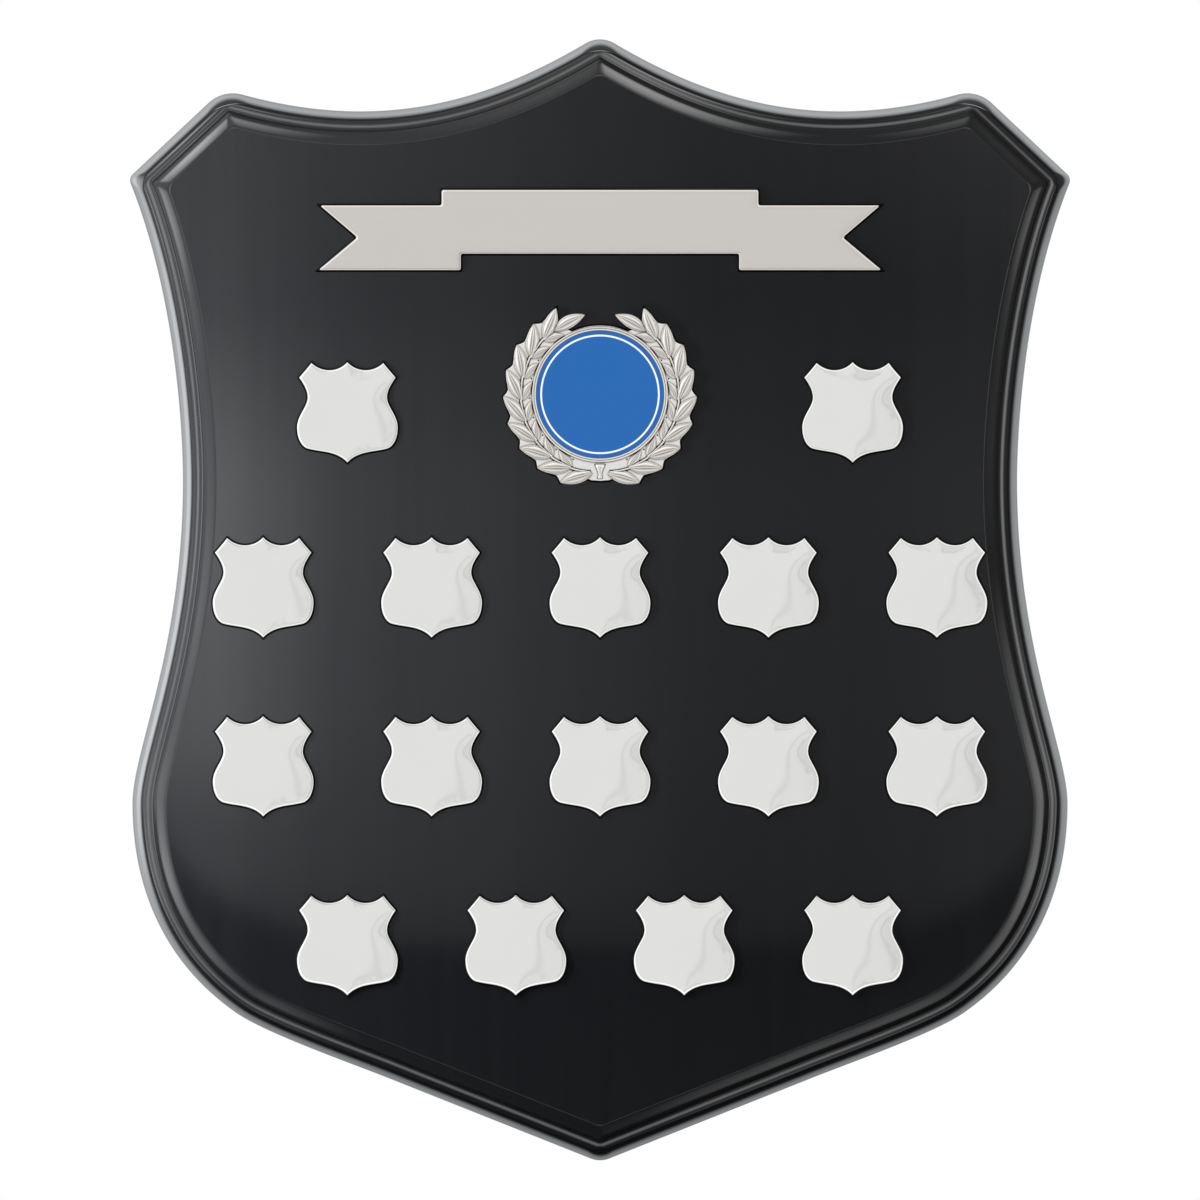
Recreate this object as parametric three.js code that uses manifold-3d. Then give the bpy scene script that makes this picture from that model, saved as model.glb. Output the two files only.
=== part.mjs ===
// Perpetual honour shield: a lacquered board with a moulded rim. Its face carries a pressed ribbon
// title plate, a laurel wreath that holds a round insert, and sixteen small name shields.
// Millimetres. X runs across the board and Z up it. The back face lies on Y = 0, against the wall,
// and the face with the plates looks towards -Y. The origin is the middle of the back face.

import * as THREE from 'three';
import { mergeVertices } from 'three/addons/utils/BufferGeometryUtils.js';
import Module from 'manifold-3d';

const wasm = await Module();
wasm.setup();

// Driving sizes of the board

const board_width = 352;
const board_height = 420;
const board_thickness = 18;

// Its right half, from the apex round to the tip, as shares of half the width and half the height.
// Corners stand where the straight or curved runs would meet before they are rounded.
const apex_shares = [0, 1.0095];
const crown_handle_shares = [[0.2426, 0.8829], [0.4852, 0.829]];
const crown_corner_shares = [0.8023, 0.9124];
const side_corner_shares = [1.0045, 0.7529];
const side_handle_shares = [[0.897, 0.5333], [0.8885, 0.275]];
const waist_shares = [0.8885, 0.2138];
const hip_handle_shares = [[0.8885, -0.0876], [0.996, -0.269]];
const belly_shares = [0.996, -0.3629];
const belly_handle_shares = [[0.996, -0.4833], [0.9523, -0.6329]];
const flank_start_shares = [0.7756, -0.7367];
const flank_end_shares = [0.4517, -0.8533];
const tip_shares = [0, -1.0038];
const flank_start_handle_share = 0.35;
const flank_end_handle_share = 0.189;

// Radii of the outline's corners, and how the corners of the moulding differ from them: each row
// holds a place across the rim, a share of the outline's own radius and a share of the soft radius.
const apex_radius = 10.7;
const crown_corner_radius = 13.5;
const side_corner_radius = 3.3;
const tip_radius = 9.5;
const rim_soft_radius = 7;
const rim_corner_shares = [
  [0, 1, 0],
  [0.26, 1, 0.55],
  [0.44, 0.08, 0.2],
  [0.56, 0, 0.25],
  [0.82, 0, 0.5],
  [1, 0, 0.65],
];

// Rim moulding, from the straight side in to the face: a steep bow, a shallow valley, a small step and
// a rounded shoulder. Each arc has its length as a share of the rim's width, its slope at the end in
// degrees and its number of steps.
const rim_width = 13;
const back_edge_break = 0.6;
const rim_side_slope = 90;
const rim_arcs = [
  { length_share: 0.3077, end_slope: 70, steps: 2 },
  { length_share: 0.4, end_slope: 54, steps: 1 },
  { length_share: 0.1538, end_slope: 5.5, steps: 3 },
  { length_share: 0.0923, end_slope: 2.2, steps: 1 },
  { length_share: 0.0846, end_slope: 5, steps: 1 },
  { length_share: 0.0346, end_slope: 40, steps: 1 },
  { length_share: 0.0231, end_slope: 40, steps: 1 },
  { length_share: 0.0692, end_slope: 22, steps: 1 },
  { length_share: 0.0769, end_slope: 14, steps: 1 },
  { length_share: 0.0923, end_slope: 10, steps: 1 },
  { length_share: 0.1846, end_slope: 6.5, steps: 1 },
];

// Driving sizes of the keyhole hanger, let into the back and held by two screws. The places of all
// fittings are shares of half the board's height, from the board's middle.
const hanger_place_share = 0.7238;
const hanger_width = 16;
const hanger_height = 48;
const hanger_thickness = 1.5;
const hanger_screw_inset = 5;
const keyhole_diameter = 10;
const keyhole_down = 5;
const keyslot_width = 5;
const keyslot_up = 6;
const head_room_width = 13;
const head_room_depth = 7;
const screw_head_diameter = 6.4;
const screw_head_height = 1.4;
const screw_diameter = 3;
const screw_length = 10;
const screw_point_length = 2;
const screw_sunk = 0.3;
const cross_width = 0.9;
const cross_length = 3.4;
const cross_depth = 1.2;
const screw_wall = 1.5;

// Driving sizes of the pressed plates: the ribbon and the small name shields
const ribbon_place_share = 0.659;
const ribbon_half_width = 105.9;
const ribbon_half_height = 15.2;
const ribbon_corner_radius = 0.8;
const ribbon_depth = 1.75;
const ribbon_sheet = 0.75;
const ribbon_edge_roll = 1;

// Right half of the ribbon from the top middle round to the bottom middle, as shares of its half sizes
const ribbon_outline_shares = [
  [0.561, 1],
  [0.561, 0.618],
  [0.995, 0.618],
  [0.86, -0.183],
  [1, -1],
  [0.49, -1],
  [0.49, -0.594],
];

const name_shield_size = 38;
const name_shield_depth = 1.75;
const name_shield_sheet = 0.75;
const name_shield_edge_roll = 1;
const outer_column_margin = 50;
const top_row_place_share = 0.3343;
const lowest_row_place_share = -0.6148;
const row_pitch_share = 0.3186;

// Right half of a name shield from its peak to its tip, as shares of half its size. Each run holds
// two handles, an end and its number of steps.
const name_peak_shares = [0, 1];
const name_run_shares = [
  { handles: [[0.19, 0.79], [0.5, 0.785]], end: [0.71, 0.985], steps: 4 },
  { handles: [[0.79, 0.88], [0.88, 0.78]], end: [0.96, 0.685], steps: 1 },
  { handles: [[0.88, 0.56], [0.79, 0.44]], end: [0.79, 0.29], steps: 3 },
  { handles: [[0.79, 0.12], [1, -0.06]], end: [1, -0.295], steps: 3 },
  { handles: [[1, -0.48], [0.94, -0.66]], end: [0.8, -0.72], steps: 3 },
  { handles: [[0.52, -0.8], [0.22, -0.76]], end: [0, -1], steps: 3 },
];

// Columns of each row, counted in pitches from the middle, top row first
const row_column_shares = [
  [-1.5, 1.5],
  [-2, -1, 0, 1, 2],
  [-2, -1, 0, 1, 2],
  [-1.5, -0.5, 0.5, 1.5],
];

// Foam tape behind the pressed plates
const name_pad_width = 22;
const name_pad_height = 20;
const name_pad_radius = 3;
const ribbon_tape_width = 40;
const ribbon_tape_height = 14;
const ribbon_tape_across = 28;
const ribbon_tape_radius = 1.5;

// Driving sizes of the wreath and its round insert. Angles run from straight up, in degrees.
const wreath_place_share = 0.3662;
const wreath_plate_thickness = 1.5;
const wreath_tape_thickness = 0.75;
const wreath_tape_diameter = 44;
const insert_diameter = 49.2;
const insert_thickness = 1;
const insert_edge_break = 0.25;
const insert_film_thickness = 0.5;
const insert_film_diameter = 44;
const seat_clearance = 0.3;
const bezel_width = 1.1;
const bezel_lip = 0.25;
const leaf_pitch = 16.1;
const leaf_count = 9;
const first_tip_angle = 27;
const leaf_sweep = 18.6;
const leaf_base_radius = 29.7;
const leaf_tip_radius = 36.2;
const leaf_width = 5;
const leaf_edge_height = 2;
const leaf_crest_height = 3.4;
const valley_radius = 34.4;
const valley_lead = 4.1;
const inner_leaf_count = 8;
const inner_leaf_base_angle = 46;
const inner_leaf_sweep = 15;
const inner_leaf_base_radius = 28.9;
const inner_leaf_tip_radius = 25.7;
const inner_leaf_width = 3.4;
const inner_leaf_crest_height = 2.7;
const top_leaf_base_angle = 35.7;
const top_leaf_tip_angle = 10.8;
const top_leaf_base_radius = 29.3;
const top_leaf_tip_radius = 30.3;
const top_leaf_width = 4.9;
const stem_radius = 29.5;
const stem_width = 1;
const stem_height = 2.7;
const stem_start_angle = 37;
const stem_end_angle = 174;
const branch_gap_angle = 25;
const branch_end_angle = 31;
const foot_radius = 32.3;
const foot_angle = 174;
const foot_neck_radius = 31.4;
const foot_neck_angle = 168;
const tie_half_width = 1.7;
const tie_height = 2.7;
const leaf_station_shares = [0.2, 0.48, 0.78];
const leaf_half_width_shares = [0.74, 1, 0.66];
const leaf_crest_shares = [0.75, 1, 0.75];

// Clearance between a let-in or cut piece and its neighbour, and the overrun of every cut
const fit_gap = 0.3;
const cut_overrun = 1;

// Counts of steps along curves
const crown_steps = 10;
const side_steps = 30;
const full_corner_steps = 4;
const half_corner_steps = 2;
const round_steps = 48;
const small_round_steps = 16;
const stem_steps = 18;
const bisection_steps = 50;

// Finishes
const black_lacquer = { color: 0x17181a, roughness: 0.08, metalness: 0 };
const bright_silver = { color: 0xd9d8d4, roughness: 0.12, metalness: 1 };
const cast_silver = { color: 0xcfccc6, roughness: 0.22, metalness: 1 };
const printed_blue = { color: 0x2c6db5, roughness: 0.3, metalness: 0 };
const white_foam = { color: 0xf0f0ee, roughness: 0.9, metalness: 0 };
const clear_film = { color: 0xe8e8e4, roughness: 0.6, metalness: 0 };
const zinc_steel = { color: 0xb4b6b8, roughness: 0.35, metalness: 1 };

// Heights of the fittings above the middle of the board, and the pitch of the columns
const half_board_height = board_height / 2;
const hanger_up = half_board_height * hanger_place_share;
const ribbon_up = half_board_height * ribbon_place_share;
const wreath_up = half_board_height * wreath_place_share;
const top_row_up = half_board_height * top_row_place_share;
const lowest_row_up = half_board_height * lowest_row_place_share;
const row_pitch = half_board_height * row_pitch_share;
const column_pitch = (board_width / 2 - outer_column_margin) / 2;

// Small helpers for outlines. An outline is a list of points, anticlockwise seen from the front.

function at(shares, half_width, half_height) {
  return new THREE.Vector2(shares[0] * half_width, shares[1] * half_height);
}

function polar(radius, degrees) {
  const turn = THREE.MathUtils.degToRad(degrees);
  return new THREE.Vector2(radius * Math.sin(turn), radius * Math.cos(turn));
}

function mirrored(points) {
  return points.map((point) => new THREE.Vector2(-point.x, point.y)).reverse();
}

// Closes a right half, which runs clockwise from the top middle to the bottom middle
function closed_outline(right_half) {
  const left_half = mirrored(right_half).filter((point) => point.x !== 0);
  return [...right_half, ...left_half].reverse();
}

function circle_outline(radius, steps) {
  const turns = Array.from({ length: steps }, (_, step) => (-step * 360) / steps);
  return turns.map((turn) => polar(radius, turn));
}

function moved(outline, across, up) {
  return outline.map((point) => new THREE.Vector2(point.x + across, point.y + up));
}

// A rectangle with round corners, drawn as four quarter circles
function rounded_rectangle(width, height, radius, steps) {
  const outline = [];
  const corners = [[1, -1, 90], [1, 1, 0], [-1, 1, -90], [-1, -1, -180]];
  for (const [side, end, turn] of corners) {
    const centre = new THREE.Vector2(side * (width / 2 - radius), end * (height / 2 - radius));
    for (let step = 0; step <= steps; step += 1) {
      outline.push(polar(radius, turn + 90 - (90 * step) / steps).add(centre));
    }
  }
  return outline;
}

// A shape with round ends that runs from one height to another
function slot_outline(width, bottom, top, steps) {
  const radius = width / 2;
  const outline = [];
  for (let step = 0; step <= steps; step += 1) {
    outline.push(polar(radius, 90 - (180 * step) / steps).add(new THREE.Vector2(0, top)));
  }
  for (let step = 0; step <= steps; step += 1) {
    outline.push(polar(radius, -90 - (180 * step) / steps).add(new THREE.Vector2(0, bottom)));
  }
  return outline;
}

// Moves each side of an outline inwards by the same distance
function shrunk(outline, inset) {
  const count = outline.length;
  return outline.map((point, index) => {
    const before = point.clone().sub(outline[(index + count - 1) % count]).normalize();
    const after = outline[(index + 1) % count].clone().sub(point).normalize();
    const normal = new THREE.Vector2(-before.y - after.y, before.x + after.x).normalize();
    const reach = inset / (before.x * normal.y - before.y * normal.x);
    return point.clone().addScaledVector(normal, reach);
  });
}

// Rounds the corners of a polygon with short arcs
function with_round_corners(polygon, radius, steps) {
  const count = polygon.length;
  return polygon.flatMap((corner, index) => {
    const back = polygon[(index + count - 1) % count].clone().sub(corner).normalize();
    const ahead = polygon[(index + 1) % count].clone().sub(corner).normalize();
    const half_angle = Math.acos(THREE.MathUtils.clamp(back.dot(ahead), -1, 1)) / 2;
    const reach = radius / Math.tan(half_angle);
    const start = corner.clone().addScaledVector(back, reach);
    const end = corner.clone().addScaledVector(ahead, reach);
    const arc = new THREE.QuadraticBezierCurve(start, corner, end);
    return arc.getPoints(steps);
  });
}

// Small helpers for solids. Outlines lie across and up, and a solid rises out of the board.

function without_folded_faces(geometry) {
  const index = geometry.index.array;
  const kept = [];
  for (let face = 0; face < index.length; face += 3) {
    const [a, b, c] = index.slice(face, face + 3);
    if (a !== b && b !== c && c !== a) kept.push(a, b, c);
  }
  geometry.setIndex(kept);
  return geometry;
}

// Skins a stack of outlines with equal numbers of points. Each ring is { outline, out }, or has
// outs, a list with one value for each point.
function loft(rings, end_cap = true) {
  const count = rings[0].outline.length;
  const positions = [];
  const faces = [];
  for (const ring of rings) {
    ring.outline.forEach((point, step) => {
      positions.push(point.x, -(ring.outs ? ring.outs[step] : ring.out), point.y);
    });
  }
  for (let ring = 0; ring + 1 < rings.length; ring += 1) {
    for (let step = 0; step < count; step += 1) {
      const here = ring * count + step;
      const beside = ring * count + ((step + 1) % count);
      faces.push(here, beside, beside + count, here, beside + count, here + count);
    }
  }
  for (const [a, b, c] of THREE.ShapeUtils.triangulateShape(rings[0].outline, [])) {
    faces.push(c, b, a);
  }
  if (end_cap) {
    const first = (rings.length - 1) * count;
    const last_outline = rings[rings.length - 1].outline;
    for (const [a, b, c] of THREE.ShapeUtils.triangulateShape(last_outline, [])) {
      faces.push(first + a, first + b, first + c);
    }
  }
  const geometry = new THREE.BufferGeometry();
  geometry.setAttribute('position', new THREE.Float32BufferAttribute(positions, 3));
  geometry.setIndex(faces);
  return without_folded_faces(mergeVertices(geometry));
}

function prism(outline, from, to) {
  return loft([{ outline, out: from }, { outline, out: to }]);
}

function to_solid(geometry) {
  const bare = geometry.clone();
  bare.deleteAttribute('normal');
  bare.deleteAttribute('uv');
  const welded = without_folded_faces(mergeVertices(bare));
  const vertProperties = new Float32Array(welded.attributes.position.array);
  const triVerts = new Uint32Array(welded.index.array);
  return new wasm.Manifold(new wasm.Mesh({ numProp: 3, vertProperties, triVerts }));
}

function to_geometry(solid) {
  const mesh = solid.getMesh();
  const geometry = new THREE.BufferGeometry();
  geometry.setAttribute('position', new THREE.Float32BufferAttribute(mesh.vertProperties, 3));
  geometry.setIndex(Array.from(mesh.triVerts));
  return geometry;
}

function cut(body, cutters) {
  return cutters.reduce((solid, cutter) => solid.subtract(to_solid(cutter)), to_solid(body));
}

function joined(pieces) {
  return pieces.slice(1).reduce((solid, piece) => solid.add(to_solid(piece)), to_solid(pieces[0]));
}

const plaque = new THREE.Group();

// Adds a piece whose own origin lies this far across, up and out of the wall
function place(name, geometry, finish, across, up, out) {
  const mesh = new THREE.Mesh(geometry, new THREE.MeshStandardMaterial(finish));
  mesh.name = name;
  mesh.position.set(across, -out, up);
  plaque.add(mesh);
}

// The board's outline: a crown run, a straight shoulder and one smooth run down to the tip

function board_point(shares) {
  return at(shares, board_width / 2, board_height / 2);
}

function bent(from, handle_shares, to) {
  const [first, second] = handle_shares.map(board_point);
  return new THREE.CubicBezierCurve(from, first, second, to);
}

const apex = board_point(apex_shares);
const crown_corner = board_point(crown_corner_shares);
const side_corner = board_point(side_corner_shares);
const waist = board_point(waist_shares);
const belly = board_point(belly_shares);
const flank_start = board_point(flank_start_shares);
const flank_end = board_point(flank_end_shares);
const tip = board_point(tip_shares);

const crown_run = new THREE.CurvePath();
crown_run.add(bent(apex, crown_handle_shares, crown_corner));

const side_run = new THREE.CurvePath();
const belly_end_handle = board_point(belly_handle_shares[1]);
const into_flank = flank_start.clone().sub(belly_end_handle);
const back_up_flank = flank_end.clone().sub(tip);
const flank_handles = [
  flank_start.clone().addScaledVector(into_flank, flank_start_handle_share),
  flank_end.clone().addScaledVector(back_up_flank, flank_end_handle_share),
];
side_run.add(bent(side_corner, side_handle_shares, waist));
side_run.add(bent(waist, hip_handle_shares, belly));
side_run.add(bent(belly, belly_handle_shares, flank_start));
side_run.add(new THREE.CubicBezierCurve(flank_start, flank_handles[0], flank_handles[1], flank_end));
side_run.add(new THREE.LineCurve(flank_end, tip));

const shoulder_direction = side_corner.clone().sub(crown_corner).normalize();
const shoulder_normal = new THREE.Vector2(shoulder_direction.y, -shoulder_direction.x);

function inward_normal(run, place_share) {
  const along = run.getTangent(place_share);
  return new THREE.Vector2(along.y, -along.x);
}

function inset_point(run, place_share, inset) {
  return run.getPoint(place_share).addScaledVector(inward_normal(run, place_share), inset);
}

function from_shoulder(point) {
  return point.clone().sub(crown_corner).dot(shoulder_normal);
}

// Finds the place along a run where a test turns positive
function turning_place(test) {
  let low = 0;
  let high = 1;
  for (let step = 0; step < bisection_steps; step += 1) {
    const middle = (low + high) / 2;
    if (test(middle) > 0) high = middle;
    else low = middle;
  }
  return (low + high) / 2;
}

function corner_arc(centre, from_normal, to_normal, radius, steps) {
  const start = Math.atan2(-from_normal.y, -from_normal.x);
  const turn = Math.atan2(from_normal.cross(to_normal), from_normal.dot(to_normal));
  const angles = Array.from({ length: steps + 1 }, (_, step) => start + (turn * step) / steps);
  return angles.map((angle) => new THREE.Vector2(
    centre.x + radius * Math.cos(angle),
    centre.y + radius * Math.sin(angle),
  ));
}

function run_points(run, start, end, steps, inset) {
  const inner_steps = Array.from({ length: steps - 1 }, (_, step) => (step + 1) / steps);
  return inner_steps.map((share) => inset_point(run, start + (end - start) * share, inset));
}

// One ring of the rim: every run of the outline moved in by the inset, and its corners rounded
function board_ring(inset, radii) {
  const reach = (radius) => inset + radius;
  const crown_start = turning_place((t) => inset_point(crown_run, t, reach(radii.apex)).x);
  const crown_end = turning_place((t) => (
    reach(radii.crown) - from_shoulder(inset_point(crown_run, t, reach(radii.crown)))
  ));
  const side_start = turning_place((t) => (
    from_shoulder(inset_point(side_run, t, reach(radii.side))) - reach(radii.side)
  ));
  const side_end = turning_place((t) => -inset_point(side_run, t, reach(radii.tip)).x);
  const down = new THREE.Vector2(0, -1);
  const up = new THREE.Vector2(0, 1);
  const centres = {
    apex: inset_point(crown_run, crown_start, reach(radii.apex)).setX(0),
    crown: inset_point(crown_run, crown_end, reach(radii.crown)),
    side: inset_point(side_run, side_start, reach(radii.side)),
    tip: inset_point(side_run, side_end, reach(radii.tip)).setX(0),
  };
  const normals = {
    crown_start: inward_normal(crown_run, crown_start),
    crown_end: inward_normal(crown_run, crown_end),
    side_start: inward_normal(side_run, side_start),
    side_end: inward_normal(side_run, side_end),
  };
  const right_half = [
    ...corner_arc(centres.apex, down, normals.crown_start, radii.apex, half_corner_steps),
    ...run_points(crown_run, crown_start, crown_end, crown_steps, inset),
    ...corner_arc(centres.crown, normals.crown_end, shoulder_normal, radii.crown, full_corner_steps),
    ...corner_arc(centres.side, shoulder_normal, normals.side_start, radii.side, full_corner_steps),
    ...run_points(side_run, side_start, side_end, side_steps, inset),
    ...corner_arc(centres.tip, normals.side_end, up, radii.tip, half_corner_steps),
  ];
  right_half[0].setX(0);
  right_half[right_half.length - 1].setX(0);
  return closed_outline(right_half);
}

// Reads the corner table at one place across the rim
function corner_radii(inset) {
  const place_share = inset / rim_width;
  const row = rim_corner_shares.findIndex((shares) => shares[0] >= place_share);
  const after = rim_corner_shares[Math.max(row, 1)];
  const before = rim_corner_shares[Math.max(row, 1) - 1];
  const blend = (place_share - before[0]) / (after[0] - before[0]);
  const own_share = THREE.MathUtils.lerp(before[1], after[1], blend);
  const soft = THREE.MathUtils.lerp(before[2], after[2], blend) * rim_soft_radius;
  return {
    apex: apex_radius * own_share + soft,
    crown: crown_corner_radius * own_share + soft,
    side: side_corner_radius * own_share + soft,
    tip: tip_radius * own_share + soft,
  };
}

// The rim's section, from the back edge to the face: how far in from the outline, and how far out
function rim_section() {
  const walk = [new THREE.Vector2()];
  let slope = rim_side_slope;
  for (const arc of rim_arcs) {
    const turn = (arc.end_slope - slope) / arc.steps;
    for (let step = 0; step < arc.steps; step += 1) {
      const middle = THREE.MathUtils.degToRad(slope + turn / 2);
      const stride = rim_width * arc.length_share / arc.steps;
      const last = walk[walk.length - 1];
      walk.push(new THREE.Vector2(Math.cos(middle), Math.sin(middle)).multiplyScalar(stride).add(last));
      slope += turn;
    }
  }
  const end = walk[walk.length - 1].clone();
  return [
    new THREE.Vector2(back_edge_break, 0),
    new THREE.Vector2(0, back_edge_break),
    ...walk.map((point) => new THREE.Vector2(
      point.x * rim_width / end.x,
      board_thickness - end.y + point.y,
    )),
  ];
}

// Keyhole hanger: a thin plate with a screw at each end and a keyhole between them

const hanger_screw_ups = [
  hanger_height / 2 - hanger_screw_inset,
  hanger_screw_inset - hanger_height / 2,
];

function hanger_plate() {
  const body = prism(slot_outline(
    hanger_width,
    hanger_width / 2 - hanger_height / 2,
    hanger_height / 2 - hanger_width / 2,
    small_round_steps / 2,
  ), 0, hanger_thickness);
  const entrance = moved(circle_outline(keyhole_diameter / 2, round_steps / 2), 0, -keyhole_down);
  const slot = slot_outline(keyslot_width, -keyhole_down, keyslot_up, small_round_steps / 2);
  const cutters = [
    prism(entrance, -cut_overrun, hanger_thickness + cut_overrun),
    prism(slot, -cut_overrun, hanger_thickness + cut_overrun),
  ];
  for (const up of hanger_screw_ups) cutters.push(screw_clearance(up));
  return to_geometry(cut(body, cutters));
}

// The room that a countersunk screw takes in the plate, with its clearance all round
function screw_clearance(up) {
  const head = screw_head_diameter / 2 + fit_gap;
  const shank = screw_diameter / 2 + fit_gap;
  const head_end = screw_sunk + screw_head_height;
  const rings = [
    [head, -cut_overrun],
    [head, screw_sunk],
    [shank, head_end],
    [shank, head_end + cut_overrun],
  ];
  return loft(rings.map(([radius, out]) => ({
    outline: moved(circle_outline(radius, small_round_steps), 0, up),
    out,
  })));
}

function hanger_screw() {
  const head_end = screw_sunk + screw_head_height;
  const shank_end = screw_sunk + screw_length - screw_point_length;
  const radius = screw_diameter / 2;
  const rings = [
    [screw_head_diameter / 2, screw_sunk],
    [radius, head_end],
    [radius, shank_end],
    [radius / small_round_steps, screw_sunk + screw_length],
  ];
  const body = loft(rings.map(([size, out]) => ({
    outline: circle_outline(size, small_round_steps),
    out,
  })));
  const arm = (width, height) => prism(
    rounded_rectangle(width, height, cross_width / small_round_steps, 1),
    screw_sunk - cut_overrun,
    screw_sunk + cross_depth,
  );
  return to_geometry(cut(body, [arm(cross_length, cross_width), arm(cross_width, cross_length)]));
}

// Shield board, with the hanger's recess, room for a wall screw's head, and two screw holes
function shield_board() {
  const rings = rim_section().map((point) => ({
    outline: board_ring(point.x, corner_radii(point.x)),
    out: point.y,
  }));
  const recess_depth = hanger_thickness + fit_gap;
  const recess = slot_outline(
    hanger_width + fit_gap * 2,
    hanger_width / 2 - hanger_height / 2,
    hanger_height / 2 - hanger_width / 2,
    small_round_steps / 2,
  );
  const head_room = slot_outline(head_room_width, -keyhole_down, keyslot_up, small_round_steps / 2);
  const cutters = [
    prism(moved(recess, 0, hanger_up), -cut_overrun, recess_depth),
    prism(moved(head_room, 0, hanger_up), 0, recess_depth + head_room_depth),
  ];
  for (const up of hanger_screw_ups) {
    const hole = circle_outline(screw_diameter / 2 + fit_gap, small_round_steps);
    cutters.push(prism(moved(hole, 0, hanger_up + up), 0, screw_sunk + screw_length + screw_wall));
  }
  return to_geometry(cut(loft(rings), cutters));
}

// A pressed plate: a thin sheet whose edge rolls down to the board, hollow behind. outline_at gives
// the plate's outline moved in by a distance.
function pressed_plate(outline_at, depth, sheet, edge_roll) {
  return loft([
    { outline: outline_at(edge_roll + sheet), out: depth - sheet },
    { outline: outline_at(sheet), out: 0 },
    { outline: outline_at(0), out: 0 },
    { outline: outline_at(0), out: depth - edge_roll },
    { outline: outline_at(edge_roll), out: depth },
  ]);
}

function ribbon_outline(inset) {
  const corners = ribbon_outline_shares.map((shares) => at(shares, ribbon_half_width, ribbon_half_height));
  const polygon = [...corners, ...mirrored(corners)].reverse();
  return with_round_corners(shrunk(polygon, inset), ribbon_corner_radius, 1);
}

function name_shield_outline(inset) {
  const half = name_shield_size / 2;
  const right_half = [at(name_peak_shares, half, half)];
  for (const run of name_run_shares) {
    const [first, second] = run.handles.map((shares) => at(shares, half, half));
    const start = right_half[right_half.length - 1];
    const curve = new THREE.CubicBezierCurve(start, first, second, at(run.end, half, half));
    right_half.push(...curve.getPoints(run.steps).slice(1));
  }
  return shrunk(closed_outline(right_half), inset);
}

// Wreath: a flat cast plate with leaves, stems and a bezel standing on it

function leaf(base, end, width, crest) {
  const along = end.clone().sub(base);
  const across = new THREE.Vector2(-along.y, along.x).normalize();
  const side = (sign) => leaf_station_shares.map((share, index) => base.clone()
    .addScaledVector(along, share)
    .addScaledVector(across, (sign * width * leaf_half_width_shares[index]) / 2));
  const middle = leaf_station_shares.map((share) => base.clone().addScaledVector(along, share));
  const outline = [base, ...side(-1), end, ...side(1).reverse()];
  const last = middle.length - 1;
  const ridge = [middle[0], ...middle, middle[last], ...[...middle].reverse()];
  const crests = leaf_crest_shares.map((share) => leaf_edge_height + (crest - leaf_edge_height) * share);
  const ridge_outs = [crests[0], ...crests, crests[last], ...[...crests].reverse()];
  return loft([
    { outline, out: 0 },
    { outline, out: leaf_edge_height },
    { outline: ridge, outs: ridge_outs },
  ], false);
}

function right_branch_leaves() {
  const leaves = [];
  for (let index = 0; index < leaf_count; index += 1) {
    const tip_angle = first_tip_angle + leaf_pitch * index;
    const base = polar(leaf_base_radius, tip_angle + leaf_sweep);
    leaves.push(leaf(base, polar(leaf_tip_radius, tip_angle), leaf_width, leaf_crest_height));
  }
  for (let index = 0; index < inner_leaf_count; index += 1) {
    const base_angle = inner_leaf_base_angle + leaf_pitch * index;
    const base = polar(inner_leaf_base_radius, base_angle);
    const end = polar(inner_leaf_tip_radius, base_angle - inner_leaf_sweep);
    leaves.push(leaf(base, end, inner_leaf_width, inner_leaf_crest_height));
  }
  const top_base = polar(top_leaf_base_radius, top_leaf_base_angle);
  const top_end = polar(top_leaf_tip_radius, top_leaf_tip_angle);
  leaves.push(leaf(top_base, top_end, top_leaf_width, leaf_crest_height));
  return leaves;
}

const seat_radius = insert_diameter / 2 + seat_clearance;
const bezel_radius = seat_radius + bezel_width;
const bezel_height = wreath_plate_thickness + insert_film_thickness + insert_thickness + bezel_lip;

// The cast plate behind the leaves: round at the open top, then in and out from valley to leaf tip
function wreath_plate_outline() {
  const right_half = [];
  for (let angle = 0; angle <= branch_gap_angle; angle += branch_gap_angle / 3) {
    right_half.push(polar(bezel_radius, angle));
  }
  right_half.push(polar(leaf_base_radius, branch_end_angle));
  for (let index = 0; index < leaf_count; index += 1) {
    const tip_angle = first_tip_angle + leaf_pitch * index;
    if (index > 0) right_half.push(polar(valley_radius, tip_angle - valley_lead));
    right_half.push(polar(leaf_tip_radius, tip_angle));
  }
  right_half.push(polar(foot_neck_radius, foot_neck_angle));
  right_half.push(polar(foot_radius, foot_angle));
  right_half[0].setX(0);
  const left_half = mirrored(right_half.slice(1));
  return [...right_half, ...left_half].reverse();
}

function stem_outline() {
  const outer = [];
  const inner = [];
  for (let step = 0; step <= stem_steps; step += 1) {
    const angle = stem_start_angle + ((stem_end_angle - stem_start_angle) * step) / stem_steps;
    outer.push(polar(stem_radius + stem_width / 2, angle));
    inner.push(polar(stem_radius - stem_width / 2, angle));
  }
  return [...outer.reverse(), ...inner];
}

function tie_outline() {
  const top = stem_radius - stem_width * 2;
  const bottom = foot_radius - stem_width;
  return [
    new THREE.Vector2(-tie_half_width, -top),
    new THREE.Vector2(-tie_half_width / 2, -bottom),
    new THREE.Vector2(tie_half_width / 2, -bottom),
    new THREE.Vector2(tie_half_width, -top),
  ];
}

function mirrored_geometry(geometry) {
  const other = geometry.clone();
  other.scale(-1, 1, 1);
  const index = other.index.array;
  for (let face = 0; face < index.length; face += 3) {
    [index[face], index[face + 1]] = [index[face + 1], index[face]];
  }
  return other;
}

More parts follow.
